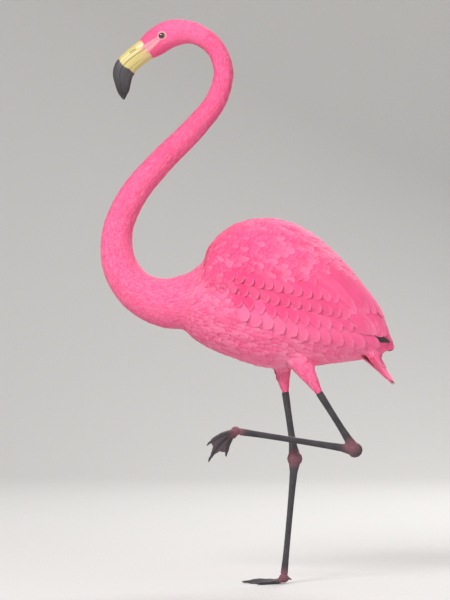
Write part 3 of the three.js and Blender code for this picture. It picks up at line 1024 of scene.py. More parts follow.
@dataclass
class Flesh:
    """A closed surface over some of the solids."""

    nodes: dict[str, Object]
    points: Array = field(init=False)
    faces: Array = field(init=False)

    def named(self, regions: Sequence[Region]) -> list[str]:
        """Returns the names of the solids in some regions."""
        kinds = {region.value for region in regions}
        return sorted(name for name in self.nodes if name.split("_")[0] in kinds)

    def owners(self, names: Sequence[str]) -> Array:
        """Finds the region of the solid nearest to each vertex.

        Args:
            names: The solids that count.

        Returns:
            A region for each vertex.
        """
        parts = [solid_arrays(self.nodes[name], 0.0) for name in names]
        kinds = [Region(name.split("_")[0]) for name in names]
        regions = np.repeat(kinds, [len(faces) for _, faces in parts])
        return regions[nearest_on(tree_of(*stacked(parts)), self.points)[1]]

    def surface_normals(self) -> Array:
        """Works out each vertex's normal, weighed by area.

        Returns:
            One normal for each vertex.
        """
        a, b, c = (self.points[self.faces[:, i]] for i in range(3))
        corners, areas = self.faces.T.ravel(), np.cross(b - a, c - a).T
        sums = [np.bincount(corners, np.tile(row, 3), len(self.points)) for row in areas]
        return unit(np.stack(sums, 1))


@dataclass
class LegSkin(Flesh):
    """The bare skin of both legs, with scutes down the fronts of their bones."""

    voxel: float = 1.05 * MM
    overlap: float = 0.2 * MM  # how far each solid is grown so that it fuses with the next
    web_overlap: float = 0.45 * MM
    joint_reach: tuple[float, float] = (9 * MM, 26 * MM)
    toe_reach: float = 12 * MM
    toe_taper: float = 0.42
    sole_height: float = 1 * MM  # below this the scutes leave the soles flat
    bone_scute: float = 4.8  # the length of one scute, in mm
    toe_scute: float = 3.4
    scutes_face: tuple[float, float, float] = (-1, 0, 0.6)
    scutes_within: float = 0.25  # the cosine at which they end to each side
    scute_height: float = 0.28 * MM
    scute_mark: float = 100.0  # added to the count, so that 0 means no scutes

    def build(self) -> Array:
        """Fuses the bare parts of both legs.

        Returns:
            The marks that the legs' finish reads.
        """
        names = self.named(BARE_LEG)
        overlaps = [self.web_overlap if n.startswith("web") else self.overlap for n in names]
        parts = [solid_arrays(self.nodes[name], grow) for name, grow in zip(names, overlaps)]
        self.points, self.faces = fused(parts, self.voxel)
        relaxer = Relaxer(self.faces, len(self.points))
        self.points = relaxer.smooth(self.points, 10)
        self._taper_toes()
        web = relaxer.spread((self.owners(names) == Region.WEB).astype(float), 4)
        joint = np.zeros(len(self.points))
        for name in names:
            if name.startswith(("ankle", "toe_joint")):
                off = np.linalg.norm(self.points - middle_of(name), axis=1)
                joint = np.maximum(joint, 1 - ease(*self.joint_reach, off))
        off_ground = self.points[:, 2] > 4 * self.sole_height
        self.points = relaxer.smooth(self.points, 24, (joint * off_ground)[:, None])
        scutes = self._scutes()
        bulge = 1 - np.abs(2 * (scutes % 1) - 1) ** 3
        bulge = bulge * (scutes > 0) * (self.points[:, 2] > self.sole_height)
        rise = self.scute_height * (bulge - 0.5)
        self.points = self.points + self.surface_normals() * rise[:, None]
        return np.stack([scutes, joint, web], 1)

    def _taper_toes(self) -> None:
        """Draws the ends of the toes in towards their claws."""
        points, self.points = self.points, self.points.copy()
        for name, toe in ((name, toe) for _, name in SIDES for toe in FRONT_TOES):
            start, end = middle_of(f"toe_joint_{name}"), middle_of(f"claw_{toe}_{name}")
            length = np.linalg.norm(end - start)
            along = (points - start) @ unit(end - start)
            off = points - start - unit(end - start) * along[:, None]
            near = (along > 0.7 * length) & (np.linalg.norm(off, axis=1) < self.toe_reach)
            drawn_in = self.toe_taper * ease(0.74, 1.0, along / length)
            self.points -= off * (drawn_in * near)[:, None]

    def _scutes(self) -> Array:
        """Counts the broad scutes down the front of each bone.

        Returns:
            The count at each vertex, with its fraction, or 0 off the bones' fronts.
        """
        gaps, counts = [], []
        for _, name in SIDES:
            ankle, foot = middle_of(f"ankle_{name}"), middle_of(f"toe_joint_{name}")
            knee = middle_of(f"shin_{name}") * 2 - ankle
            bones = [(ankle, knee, self.bone_scute), (ankle, foot, self.bone_scute)]
            claws = [middle_of(f"claw_{toe}_{name}") for toe in FRONT_TOES]
            for start, end, size in bones + [(foot, claw, self.toe_scute) for claw in claws]:
                way = unit(end - start)
                along = (self.points - start) @ way
                near = np.clip(along, 0, np.linalg.norm(end - start))
                off = self.points - start - way * near[:, None]
                ahead = np.array(self.scutes_face)
                facing = unit(off) @ unit(ahead - way * (ahead @ way))
                gaps.append(np.linalg.norm(off, axis=1))
                count = (along / MM + 0.8 * facing) / size + self.scute_mark
                counts.append(count * (facing > self.scutes_within))
        nearest = np.argmin(gaps, axis=0)
        return np.array(counts)[nearest, np.arange(len(self.points))]


@dataclass
class Skin(Flesh):
    """The one skin that stands for all of the flesh, and the ground that vanes grow from."""

    voxel: float = 5.5 * MM
    overlap: float = 0.35 * MM
    neck_grid: tuple[int, int] = (200, 48)  # rings, and vertices in each
    fused_rounds: int = 30
    coat_rounds: int = 14  # how far one region's depth of coat runs into the next
    head_reach: float = 58 * MM
    head_cuts: int = 3
    bare_thinned: float = 0.85  # how much less the bare face is sunk
    most_sunk: float = 0.32  # the most that the skin sinks, as a share of the form's thickness
    thickest: float = 60 * MM  # the most thickness that is looked for
    normals: Array = field(init=False)
    regions: Array = field(init=False)
    uvs: Array = field(init=False)
    tree: BVHTree = field(init=False)

    def build(self) -> None:
        """Builds the skin."""
        self._build_body()
        legs = LegSkin(self.nodes)
        leg_marks = legs.build()
        both = [(part.points, part.faces) for part in (self, legs)]
        skin = mesh_object("skin", *stacked(both))
        slots = np.repeat(np.array([0, 1], np.int32), [len(faces) for _, faces in both])
        skin.data.polygons.foreach_set("material_index", slots)
        on_leg = np.zeros(len(legs.points))
        finish_piece(
            skin,
            "plumage",
            [BodySkinFinish().material(), LegSkinFinish().material()],
            self.named(list(Region)),
            flush=np.concatenate([flush_of(self.points, self.regions), on_leg]),
            bare=np.concatenate([self.bare_share(self.points), on_leg]),
            leg=np.concatenate([np.zeros_like(self.points), leg_marks]),
        )

    def _build_body(self) -> None:
        """Fuses the feathered solids, refines the head, and sinks the whole by the coat."""
        names = self.named([r for r in COAT if r not in (Region.HEAD, Region.NECK)])
        parts = [solid_arrays(self.nodes[name], self.overlap) for name in names]
        smooth_neck = NECK.tube(*self.neck_grid)
        self.points, self.faces = fused([*parts, smooth_neck], self.voxel)
        relaxer = Relaxer(self.faces, len(self.points))
        self.points = relaxer.smooth(self.points, self.fused_rounds)
        self._refine_head()
        relaxer = Relaxer(self.faces, len(self.points))
        share = self._near_head(self.points)
        near = share > 0
        drawn = nearest_on(tree_of(*smooth_neck), self.points[near])[0] - self.points[near]
        self.points[near] += share[near, None] * drawn
        self.points = relaxer.smooth(self.points, 5)
        self.regions = self.owners(self.named(COAT))
        depth = np.array([COAT[region][0] for region in self.regions])
        depth = relaxer.spread(depth, self.coat_rounds)
        depth = depth * (1 - self.bare_thinned * self.bare_share(self.points))
        self._measure()
        depth = np.minimum(depth, self.most_sunk * self._thickness())
        sunk = self.points - self.normals * relaxer.spread(depth, 3)[:, None]
        self.points = relaxer.smooth(sunk, 3)
        self._model_face()
        self._measure()
        self.uvs = self._unwrapped()

    def _measure(self) -> None:
        """Works out the normals, and the tree in which places on the skin are looked up."""
        self.normals = self.surface_normals()
        self.tree = tree_of(self.points, self.faces)

    def _near_head(self, points: Array) -> Array:
        """Returns how near points are to the middle of the head, from 0 outside it to 1."""
        off = np.linalg.norm(points - EyePlace(1).middle * np.array([1, 0, 1]), axis=1)
        return 1 - ease(self.head_reach * 0.8, self.head_reach, off)

    def _refine_head(self) -> None:
        """Splits the faces of the head, where the form is finest."""
        draft = mesh_object("draft", self.points, self.faces)
        shape = bmesh.new()
        shape.from_mesh(draft.data)
        limits = {"angle_face_threshold": 1.2, "angle_shape_threshold": 1.2}
        bmesh.ops.join_triangles(shape, faces=shape.faces, **limits)
        near = self._near_head(np.array([v.co for v in shape.verts])) > 0
        edges = [e for e in shape.edges if near[e.verts[0].index] and near[e.verts[1].index]]
        bmesh.ops.subdivide_edges(shape, edges=edges, cuts=self.head_cuts, use_grid_fill=True)
        bmesh.ops.triangulate(shape, faces=shape.faces)
        shape.to_mesh(draft.data)
        shape.free()
        self.points, self.faces = used_up(draft)

    def _thickness(self) -> Array:
        """Measures how thick the form is under each vertex.

        Returns:
            The thickness at each vertex, up to the thickest that matters.
        """
        starts = self.points - self.normals * 0.5 * MM
        rays = [self.tree.ray_cast(*ray, self.thickest)[3] for ray in zip(starts, -self.normals)]
        return np.array([self.thickest if length is None else length for length in rays])

    def _model_face(self) -> None:
        """Models brow, lores, cheek and the hollow round each eye."""
        points, self.points = self.points, self.points.copy()
        for side, _ in SIDES:
            ahead, above, out = EyePlace(side).local(points)
            strip = EyePlace.strip_height(ahead, above)
            hollow = -1.1 * np.exp(-(ahead**2 + above**2) / 12.0**2)
            brow = 1.5 * np.exp(-((ahead - 1) ** 2 / 11.0**2 + (above - 10.5) ** 2 / 4.5**2))
            lores = -1.3 * np.exp(-(strip**2) / 3.6**2) * ease(6, 14, ahead)
            cheek = 1.3 * np.exp(-((ahead - 3) ** 2 / 14.0**2 + (above + 16) ** 2 / 7.0**2))
            shift = (hollow + brow + lores + cheek) * (out > 4) * MM
            self.points[:, 1] += side * shift

    @staticmethod
    def bare_share(points: Array) -> Array:
        """Works out how bare the face is, round the eyes and ahead of them.

        Args:
            points: The places.

        Returns:
            From 0, feathered, to 1, bare.
        """
        bare = np.zeros(len(points))
        for side, _ in SIDES:
            ahead, above, out = EyePlace(side).local(points)
            ring = 1 - ease(8.5, 10.5, np.hypot(ahead, above))
            wave = 0.3 * np.sin(ahead * 1.9) + 0.25 * np.sin(ahead * 0.7 + side)
            height = 2.6 + 0.13 * ahead + wave
            off = np.abs(EyePlace.strip_height(ahead, above))
            strip = (1 - ease(height, height + 2.5, off)) * ease(4, 8, ahead)
            bare = np.maximum(bare, np.maximum(ring, strip) * (out > 4))
        return bare

    def _unwrapped(self) -> Array:
        """Unwraps the body.

        Returns:
            The place of each triangle's three corners on the unwrap.
        """
        draft = mesh_object("draft", self.points, self.faces)
        draft.data.uv_layers.new(name="unwrap")
        bpy.context.view_layer.objects.active = draft
        draft.select_set(True)
        bpy.ops.object.mode_set(mode="EDIT")
        bpy.ops.mesh.select_all(action="SELECT")
        bpy.ops.uv.smart_project(angle_limit=1.15, island_margin=0.002, scale_to_bounds=True)
        bpy.ops.object.mode_set(mode="OBJECT")
        flat = np.zeros(len(draft.data.loops) * 2, np.float32)
        draft.data.uv_layers["unwrap"].data.foreach_get("uv", flat)
        bpy.data.objects.remove(draft)
        return flat.reshape(-1, 3, 2).astype(float)

    def nearest(self, places: Array) -> tuple[Array, Array]:
        """Returns the points of the skin nearest to places, and its normals there."""
        points, triangles = nearest_on(self.tree, places)
        return points, unit(self.normals[self.faces[triangles]].mean(1))

    def roots_on(self, triangles: Array, weights: Array) -> Roots:
        """Makes roots at places on the skin.

        Args:
            triangles: The number of each place's triangle.
            weights: The weights of its three corners.

        Returns:
            The roots.
        """
        corners = self.faces[triangles]
        spots, normals, uvs = (
            (values * weights[..., None]).sum(1)
            for values in (self.points[corners], self.normals[corners], self.uvs[triangles])
        )
        return Roots(spots, unit(normals), uvs, self.regions[corners[:, 0]])

    def roots_at_side(self, x: Array, z: Array, side: int) -> tuple[Roots, Array]:
        """Finds roots as seen from one side.

        Args:
            x: Where each root lies along the body.
            z: How high it lies.
            side: -1 for the bird's left, 1 for its right.

        Returns:
            The roots that meet the skin, and which of those asked for they are.
        """
        inward = Vector((0, -side, 0))
        hits = [self.tree.ray_cast((px, side * 0.5, pz), inward) for px, pz in zip(x, z)]
        found = np.array([hit[0] is not None for hit in hits])
        spots = np.array([hit[0] for hit in hits if hit[0] is not None])
        triangles = np.array([hit[2] for hit in hits if hit[0] is not None])
        a, b, c = (self.points[self.faces[triangles, i]] for i in range(3))
        across = np.cross(b - a, c - a)
        whole, second, third = (
            dot(np.cross(p, q), across)[:, 0]
            for p, q in ((b - a, c - a), (spots - a, c - a), (b - a, spots - a))
        )
        second, third = second / whole, third / whole
        return self.roots_on(triangles, np.stack([1 - second - third, second, third], 1)), found

    def scatter(self, regions: Sequence[Region], spacing: Spacing, seed: int) -> Roots:
        """Spreads roots over some regions.

        Args:
            regions: Where they grow.
            spacing: The least distance between them.
            seed: For the draw.

        Returns:
            The roots.
        """
        rng = np.random.default_rng(seed)
        chosen = np.flatnonzero(np.isin(self.regions[self.faces[:, 0]], regions))
        a, b, c = (self.points[self.faces[chosen, i]] for i in range(3))
        area = np.linalg.norm(np.cross(b - a, c - a), axis=1) / 2
        want = area / spacing((a + b + c) / 3) ** 2
        tries = int(want.sum() * 8)
        picked = rng.choice(chosen, tries, p=want / want.sum())
        first, second = rng.random((2, tries))
        first, second = np.where(first + second > 1, (1 - first, 1 - second), (first, second))
        roots = self.roots_on(picked, np.stack([1 - first - second, first, second], 1))
        gaps = np.broadcast_to(spacing(roots.points), tries)
        tree = KDTree(tries)
        for i, point in enumerate(roots.points.tolist()):
            tree.insert(point, i)
        tree.balance()
        taken = np.zeros(tries, bool)
        kept = []
        for i, point in enumerate(roots.points.tolist()):
            if not taken[i]:
                kept.append(i)
                taken[[other for _, other, _ in tree.find_range(point, gaps[i])]] = True
        return roots.picked(np.array(kept))


# ---- The lie of the coat ----
class Flow:
    """Which way feathers lie, from lines that they follow."""

    def __init__(self, lines: Sequence[tuple[Sequence, float]], sharpness: float = 5.0) -> None:
        """Cuts the lines into short steps.

        Args:
            lines: Each line's points, and how far it reaches.
            sharpness: How quickly the nearest line takes over from the rest.
        """
        middles, ways, reaches = [], [], []
        for points, reach in lines:
            points = np.array(points, float)
            steps = np.linalg.norm(np.diff(points, axis=0), axis=1)
            lengths = np.concatenate([[0], np.cumsum(steps)])
            fine = between(np.linspace(0, lengths[-1], 30), lengths, points)
            middles.append((fine[1:] + fine[:-1]) / 2)
            ways.append(unit(np.diff(fine, axis=0)))
            reaches.append(np.full(len(fine) - 1, reach))
        self.middles, self.ways = np.concatenate(middles), np.concatenate(ways)
        self.reaches, self.sharpness = np.concatenate(reaches), sharpness

    def at(self, roots: Roots) -> Array:
        """Tells which way feathers lie.

        Args:
            roots: Where they grow.

        Returns:
            Directions along the skin.
        """
        gaps = np.linalg.norm(roots.points[:, None] - self.middles[None], axis=2)
        weights = (self.reaches / (gaps + 1e-4)) ** self.sharpness
        ways = unit((weights[..., None] * self.ways).sum(1))
        return unit(ways - roots.normals * dot(ways, roots.normals))


@dataclass(frozen=True)
class VaneForm:
    """The shape that the vanes of one tract share, at first that of a small body feather.

    Widths are shares of the vane's own width, and places are shares of its length.
    """

    rows: int = 5
    columns: int = 2
    base: float = 0.5
    fullest: float = 0.5
    bluntness: float = 1.7  # below 2 the tip is pointed, above 3 it is broad and round
    rounding: float = 0.0
    camber: float = 0.2
    roll: float = 0.0
    root_lift: float = 0.2 * MM
    tip_lift: float = 1.7 * MM
    fray: float = 0.06
    nicks: float = 0.0  # the share of rows at which the edge is split
    quill: float = 0.0  # how far the quill stands up
    dive: float = 0.35
    bend: float = 1.1  # the most that the quill bends over its whole length, in radians
    free: bool = False  # whether it stands off the skin all the way
    thickness: float = 0.25 * MM

    def shares(self) -> Array:
        """Returns where the rows lie, closer together towards the tip."""
        return np.sin(np.linspace(0, 1, self.rows + 1) * np.pi / 2) ** 0.92

    def across(self) -> Array:
        """Returns where the columns lie, from -1 to 1, closer together at the quill."""
        even = np.linspace(-1, 1, self.columns + 1)
        return np.sign(even) * np.abs(even) ** 1.35

    def triangles(self) -> Array:
        """Numbers one closed vane's triangles: top, coarser underside and two ends.

        Returns:
            Three vertex numbers for each. The vertices of the top come first, row by row, and
            then those inside the underside.
        """
        top = np.arange((self.rows + 1) * (self.columns + 1)).reshape(self.rows + 1, -1)
        under = top[:, ::2].copy()
        inside = under[1:-1, 1:-1]
        inside[:] = top.size + np.arange(inside.size).reshape(inside.shape)
        halves = []
        for grid in (top, under[:, ::-1]):
            a, b, c, d = grid[:-1, :-1], grid[1:, :-1], grid[1:, 1:], grid[:-1, 1:]
            halves += [np.stack(corners, -1).reshape(-1, 3) for corners in ((a, b, c), (a, c, d))]
        for row in (top[0], top[-1, ::-1]):
            halves.append(np.stack([row[:-2:2], row[1::2], row[2::2]], -1))
        return np.concatenate(halves)

    def width(self, shares: Array) -> Array:
        """Works out a vane's outline.

        Args:
            shares: Places along it.

        Returns:
            How wide it is there, as a share of its full width.
        """
        opened = np.sin(np.pi / 2 * np.minimum(shares / self.fullest, 1))
        rise = self.base + (1 - self.base) * opened
        past = np.clip((shares - self.fullest) / (1 - self.fullest), 0, 1)
        return rise * np.sqrt(1 - 0.97 * past**self.bluntness)


@dataclass
class Vanes:
    """A tract of feathers that is grown as one mesh."""

    skin: Skin
    material: Material
    name: str
    form: VaneForm
    roots: Roots
    ways: Array
    lengths: Array
    widths: Array
    seed: int
    sides: Array | float = 1.0
    tone_spread: float = 1.0

    def _spines(self) -> tuple[Array, Array]:
        """Lays each vane's spine over the skin, or straight on where the skin ends.

        Returns:
            The spines' points and the directions that they face, row by row.
        """
        form = self.form
        points, normals = [self.roots.points], [self.roots.normals]
        way = self.ways
        for step in np.diff(form.shares()):
            reach = (self.lengths * step)[:, None]
            ahead = points[-1] + way * reach
            if form.free:
                points.append(ahead)
                normals.append(normals[-1])
                continue
            ground, facing = self.skin.nearest(ahead)
            off = ahead - ground
            gap = np.linalg.norm(off, axis=1)
            outside = dot(off, facing)[:, 0] > 0
            left = np.where(outside, np.maximum(gap - form.dive * reach[:, 0], 0), 0)
            wanted = unit(ground + unit(off) * left[:, None] - points[-1])
            rising = dot(wanted - way, normals[-1])[:, 0] > 0
            way = self._bent(way, wanted, form.bend * step * np.where(rising, 3.0, 1.0))
            place = points[-1] + way * reach
            off_skin = np.linalg.norm(place - ground, axis=1)
            touching = (1 - ease(0.5 * MM, 4 * MM, off_skin))[:, None]
            normal = unit(normals[-1] * (1 - touching) + facing * touching)
            normals.append(unit(normal - way * dot(normal, way)))
            points.append(place)
        return np.stack(points, 1), np.stack(normals, 1)

    @staticmethod
    def _bent(way: Array, wanted: Array, most: Array) -> Array:
        """Turns directions towards wanted ones, no further than a stiff quill bends.

        Args:
            way: The directions so far.
            wanted: The directions that would follow the skin.
            most: The most that each may turn, in radians.

        Returns:
            The new directions.
        """
        angle = np.arccos(np.clip(dot(way, wanted)[:, 0], -1, 1))
        share = np.minimum(1, most / np.maximum(angle, 1e-6))[:, None]
        angle = np.maximum(angle, 1e-4)[:, None]
        return unit(way * np.sin((1 - share) * angle) + wanted * np.sin(share * angle))

    def grow(self) -> None:
        """Grows the tract as a finished piece."""
        rng = np.random.default_rng(self.seed)
        form, count = self.form, len(self.ways)
        spine, normal = self._spines()
        ways = unit(np.gradient(spine, axis=1))
        aside = unit(np.cross(normal, ways))
        if form.roll:
            turn = form.roll * np.broadcast_to(self.sides, count)[:, None, None]
            cos, sin = np.cos(turn), np.sin(turn)
            aside, normal = aside * cos + normal * sin, normal * cos - aside * sin
        shares, across = form.shares(), form.across()
        u, v = shares[None, :, None], across[None, None, :]
        frayed = form.fray * rng.uniform(0.3, 1.0, (count, 1, across.size))
        frayed = frayed * (np.arange(across.size) % 2)
        back = (form.rounding * v**2 + frayed) * ease(0.45, 1.0, u)
        spread = form.width(shares)[None, :, None] * (self.widths / 2)[:, None, None]
        spread = spread * (1 + form.fray * rng.uniform(-1, 1, (count, shares.size, 1)))
        if form.nicks:
            split = rng.random((count, shares.size, 2)) < form.nicks
            split = split * ease(0.2, 0.5, shares)[:, None] * rng.uniform(0.06, 0.2, split.shape)
            split = split * (1 - ease(0.9, 0.97, shares))[:, None]
            split = np.where(v < 0, split[..., :1], split[..., 1:])
            spread = spread * (1 - split * ease(0.4, 1.0, np.abs(v)))
        rise = form.root_lift + (form.tip_lift - form.root_lift) * shares**1.3
        rise = rise[None, :, None] * rng.uniform(0.88, 1.1, (count, 1, 1))
        rise = rise - form.camber * v**2 * spread + form.quill * hump(v, 0, 0.08) * (1 - u**3)
        points = spine[:, :, None] + aside[:, :, None] * (v * spread)[..., None]
        points = points + normal[:, :, None] * rise[..., None]
        points = points - ways[:, :, None] * (back * self.lengths[:, None, None])[..., None]
        under = points - normal[:, :, None] * (form.thickness * (1 - v**2))[..., None]
        tones = 0.5 + (rng.random(count) - 0.5) * self.tone_spread
        u, v = (grid[None] for grid in np.meshgrid(shares, across, indexing="ij"))
        u, v = self._closed(u, u)[0], self._closed(v, v)[0]
        self._finish(self._closed(points, under), u, v, tones)

    @staticmethod
    def _closed(top: Array, under: Array) -> Array:
        """Joins what the top's vertices carry and what the underside's inner ones do.

        Args:
            top: By vane, row and column.
            under: The same for the underside.

        Returns:
            The values by vane and vertex, in the order of VaneForm.triangles.
        """
        inside = under[:, 1:-1, 2:-2:2]
        shape = (len(top), -1, *top.shape[3:])
        parts = [part.reshape(shape) for part in (top, inside) if part.size]
        return np.concatenate(parts, 1)

    def _finish(self, points: Array, u: Array, v: Array, tones: Array) -> None:
        """Turns the vanes' points into a piece with its marks and its bake map.

        Args:
            points: The vertices, by vane.
            u: Each vertex's share of the way to the tip.
            v: Its place across, as u the same in every vane.
            tones: Each vane's tone.
        """
        count, each = points.shape[:2]
        faces = self.form.triangles()[None] + np.arange(count)[:, None, None] * each
        piece = mesh_object(self.name, points.reshape(-1, 3), faces.reshape(-1, 3))
        mesh = piece.data
        rim = (np.abs(v) == 1) | (u == u[0]) | (u == 1)
        ends = np.zeros(len(mesh.edges) * 2, np.int32)
        mesh.edges.foreach_get("vertices", ends)
        sharp = rim[ends.reshape(-1, 2) % each].all(1)
        mesh.attributes.new("sharp_edge", "BOOLEAN", "EDGE").data.foreach_set("value", sharp)
        patch = np.stack([v / 2, u - 0.5], -1) * BAKE_PATCH
        places = (self.roots.uvs[:, None] + patch[None]).reshape(-1, 2)[faces.ravel()]
        layer = mesh.uv_layers.new(name=BAKE_MAP)
        layer.data.foreach_set("uv", places.astype(np.float32).ravel())
        flush = flush_of(self.roots.points, self.roots.regions)
        marks = np.stack([np.tile(u, count), np.tile(v, count), np.repeat(tones, each)], 1)
        flush = np.repeat(flush, each)
        finish_piece(piece, "plumage", [self.material], flush=flush, vane=marks)


# ---- Plumage ----
def varied(rng: np.random.Generator, values: Array, spread: float) -> Array:
    """Returns values each changed at random by up to a share."""
    return values * rng.uniform(1 - spread, 1 + spread, len(values))


def turned(rng: np.random.Generator, ways: Array, roots: Roots, spread: float) -> Array:
    """Returns the roots' directions, each turned at random about the skin's normal."""
    angles = rng.normal(0, spread, len(ways))[:, None]
    return ways * np.cos(angles) + np.cross(roots.normals, ways) * np.sin(angles)


@dataclass
class BodyPlumage:
    """The small feathers of head, neck, trunk, thighs and tail root."""

    skin: Skin
    feathers: Material
    fine: Material
    head_spacing: float = 1.35 * MM
    neck_spacing: float = 2.5 * MM
    body_spacing: float = 7.4 * MM
    thigh_spacing: float = 3.0 * MM
    neck_parted: float = 0.75  # the height at which the neck's two pieces meet
    thigh_reach: float = 32.0 * MM  # from the front of the thigh to its bone
    tail_covered_to: float = 0.448  # the height down to which coverts grow on the tail's top
    tail_sides_to: float = 0.418  # and on its sides
    rump: tuple[float, float] = (0.22, 0.25)  # over this x the feathers get shorter
    flow: Flow = field(init=False)

    def build(self) -> None:
        """Grows every tract."""
        trunk = [
            (-0.19, 0, 0.56), (-0.10, 0, 0.568), (0.0, 0, 0.575), (0.09, 0, 0.56),
            (0.16, 0, 0.525), (0.21, 0, 0.48), (0.255, 0, 0.42),
        ]
        self.flow = Flow([(NECK.line[::-6], 0.035), (trunk, 0.1)], 4.0)
        self._grow_head()
        self._grow_neck()
        self._grow_trunk()
        self._grow_thighs()

    def _tract(
        self,
        name: str,
        form: VaneForm,
        roots: Roots,
        flow: Flow,
        length: Array,
        slim: float,
        seed: int,
        finish: Material,
    ) -> None:
        """Grows one tract of small feathers.

        Args:
            name: The object's name.
            form: The feathers' form.
            roots: Where they grow.
            flow: How they lie.
            length: Each feather's length.
            slim: Its width as a share of its length.
            seed: For the variation.
            finish: The feathers' finish.
        """
        rng = np.random.default_rng(seed)
        ways = turned(rng, flow.at(roots), roots, 0.13)
        lengths = varied(rng, length, 0.2)
        widths = varied(rng, lengths * slim, 0.1)
        piece = (self.skin, finish, f"feathers_{name}")
        Vanes(*piece, form, roots, ways, lengths, widths, seed).grow()

    def _grow_head(self) -> None:
        """Grows the head's feathers, the smallest, and none on the bare face or the bill."""
        roots = self.skin.scatter([Region.HEAD], lambda _: self.head_spacing, 11)
        bare = Skin.bare_share(roots.points)
        roots = roots.picked((bare < 0.5) & ((roots.points - BILL_START) @ FACE_WAY < -2.2 * MM))
        from_bill = -(roots.points - BILL_START) @ FACE_WAY
        length = 2.4 * MM + 6.0 * MM * ease(0, 105 * MM, from_bill)
        length = length * (1 - 0.4 * Skin.bare_share(roots.points))
        form = VaneForm(4, fullest=0.45, root_lift=0.05 * MM, tip_lift=0.75 * MM)
        self._tract("head", form, roots, self.flow, length, 0.36, 12, self.fine)

    def _grow_neck(self) -> None:
        """Grows the neck's feathers in a lower and an upper piece."""
        roots = self.skin.scatter([Region.NECK], lambda _: self.neck_spacing, 21)
        lower = roots.points[:, 2] < self.neck_parted
        for name, which in (("lower", lower), ("upper", ~lower)):
            part = roots.picked(which)
            length = 10 * MM + 9 * MM * (1 - ease(0.6, 0.95, part.points[:, 2]))
            self._tract(f"neck_{name}", VaneForm(), part, self.flow, length, 0.25, 22, self.fine)

    def _grow_trunk(self) -> None:
        """Grows the feathers of breast, belly, back and tail root, a piece for each side."""
        roots = self.skin.scatter([Region.TRUNK, Region.TAIL], self._trunk_spacing, 31)
        height = roots.points[:, 2]
        beside = (np.abs(roots.normals[:, 1]) > 0.35) & (height > self.tail_sides_to)
        on_trunk = roots.regions != Region.TAIL
        roots = roots.picked(on_trunk | (height > self.tail_covered_to) | beside)
        form = VaneForm(
            8, 6, 0.4, bluntness=2.3, rounding=0.03, camber=0.18, root_lift=0.3 * MM,
            tip_lift=2.2 * MM, fray=0.02,
        )
        left = roots.points[:, 1] < 0
        for name, which in (("left", left), ("right", ~left)):
            part = roots.picked(which)
            shorter = ease(*self.rump, part.points[:, 0])
            length = self._trunk_spacing(part.points) * (3.9 - 1.9 * shorter)
            self._tract(f"trunk_{name}", form, part, self.flow, length, 0.5, 32, self.feathers)

    def _trunk_spacing(self, places: Array) -> Array:
        """Returns how far apart the trunk's feathers grow: closer by the neck."""
        return self.body_spacing * (0.5 + 0.5 * ease(-0.19, -0.03, places[:, 0]))

    def _grow_thighs(self) -> None:
        """Grows the feathers of each thigh, down to the bare leg."""
        form = VaneForm(bluntness=1.8, fray=0.05)
        legs = [Region.THIGH, Region.SHIN]
        roots = self.skin.scatter(legs, lambda _: self.thigh_spacing, 41)
        for side, name in SIDES:
            low, high = (np.array(corner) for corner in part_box(f"thigh_{name}"))
            top = np.array([low[0] + self.thigh_reach, (low[1] + high[1]) / 2, high[2]])
            cuff = roots.points[:, 2] > low[2] - 5 * MM
            part = roots.picked((roots.points[:, 1] * side > 0) & cuff)
            part.regions[:] = Region.THIGH
            flow = Flow([([top, middle_of(f"ankle_{name}")], 0.1)])
            length = 9 * MM + 10 * MM * ease(low[2], high[2], part.points[:, 2])
            self._tract(f"thigh_{name}", form, part, flow, length, 0.34, 42, self.fine)


@dataclass(frozen=True)
class WingRow:
    """A row of long feathers along the folded wing, seen from its own side.

    start and end are x and z of the first and last tip, sag lowers the row's middle below the
    straight line between them, and slant is how steeply the first and last feather fall, in
    degrees below level.
    """

    name: str
    start: tuple[float, float]
    end: tuple[float, float]
    sag: float
    length: tuple[float, float]
    width: float
    slant: tuple[float, float]
    count: int = 12
    bluntness: float = 3.2
    lift: float = 4.3 * MM
    dark: bool = False

    def places(self) -> tuple[Array, Array, Array, Array]:
        """Lays the row out.

        Returns:
            The roots' x and z, the feathers' lengths, and their slants in radians.
        """
        t = np.linspace(0, 1, self.count)
        pairs = (*zip(self.start, self.end), self.length, self.slant)
        x, z, length, slant = (first + (last - first) * t for first, last in pairs)
        slant = np.radians(slant)
        z = z - self.sag * 4 * t * (1 - t)
        return x - length * np.cos(slant), z + length * np.sin(slant), length, slant


WING_ROWS = (
    WingRow(
        "primaries", (0.226, 0.466), (0.254, 0.474), 0, (0.1, 0.1), 0.015, (22, 26), 4, 1.5,
        1.0 * MM, dark=True,
    ),
    WingRow(
        "secondaries", (-0.034, 0.528), (0.228, 0.466), 0.01, (0.046, 0.105), 0.038, (56, 30),
        bluntness=3.0,
    ),
    WingRow(
        "greater_coverts", (-0.048, 0.557), (0.198, 0.5), 0.008, (0.04, 0.085), 0.034, (54, 31),
    ),
    WingRow(
        "middle_coverts", (-0.056, 0.584), (0.174, 0.534), 0.005, (0.034, 0.07), 0.029, (50, 32),
    ),
    WingRow(
        "upper_coverts", (-0.06, 0.609), (0.15, 0.568), 0.002, (0.03, 0.058), 0.025, (46, 33),
        bluntness=3.0,
    ),
    WingRow(
        "lower_tertials", (0.218, 0.5), (0.262, 0.516), 0, (0.145, 0.135), 0.036, (36, 38), 5, 1.9,
        5.5 * MM,
    ),
    WingRow(
        "upper_tertials", (0.192, 0.548), (0.252, 0.55), 0, (0.14, 0.125), 0.034, (40, 42), 5, 1.9,
        6.0 * MM,
    ),
)
ROW_FORM = VaneForm(
    26, 12, 0.45, 0.6, rounding=0.02, camber=0.14, roll=math.radians(6), root_lift=1.0 * MM,
    fray=0.006, nicks=0.07, quill=0.35 * MM, dive=0.12, bend=0.8,
)
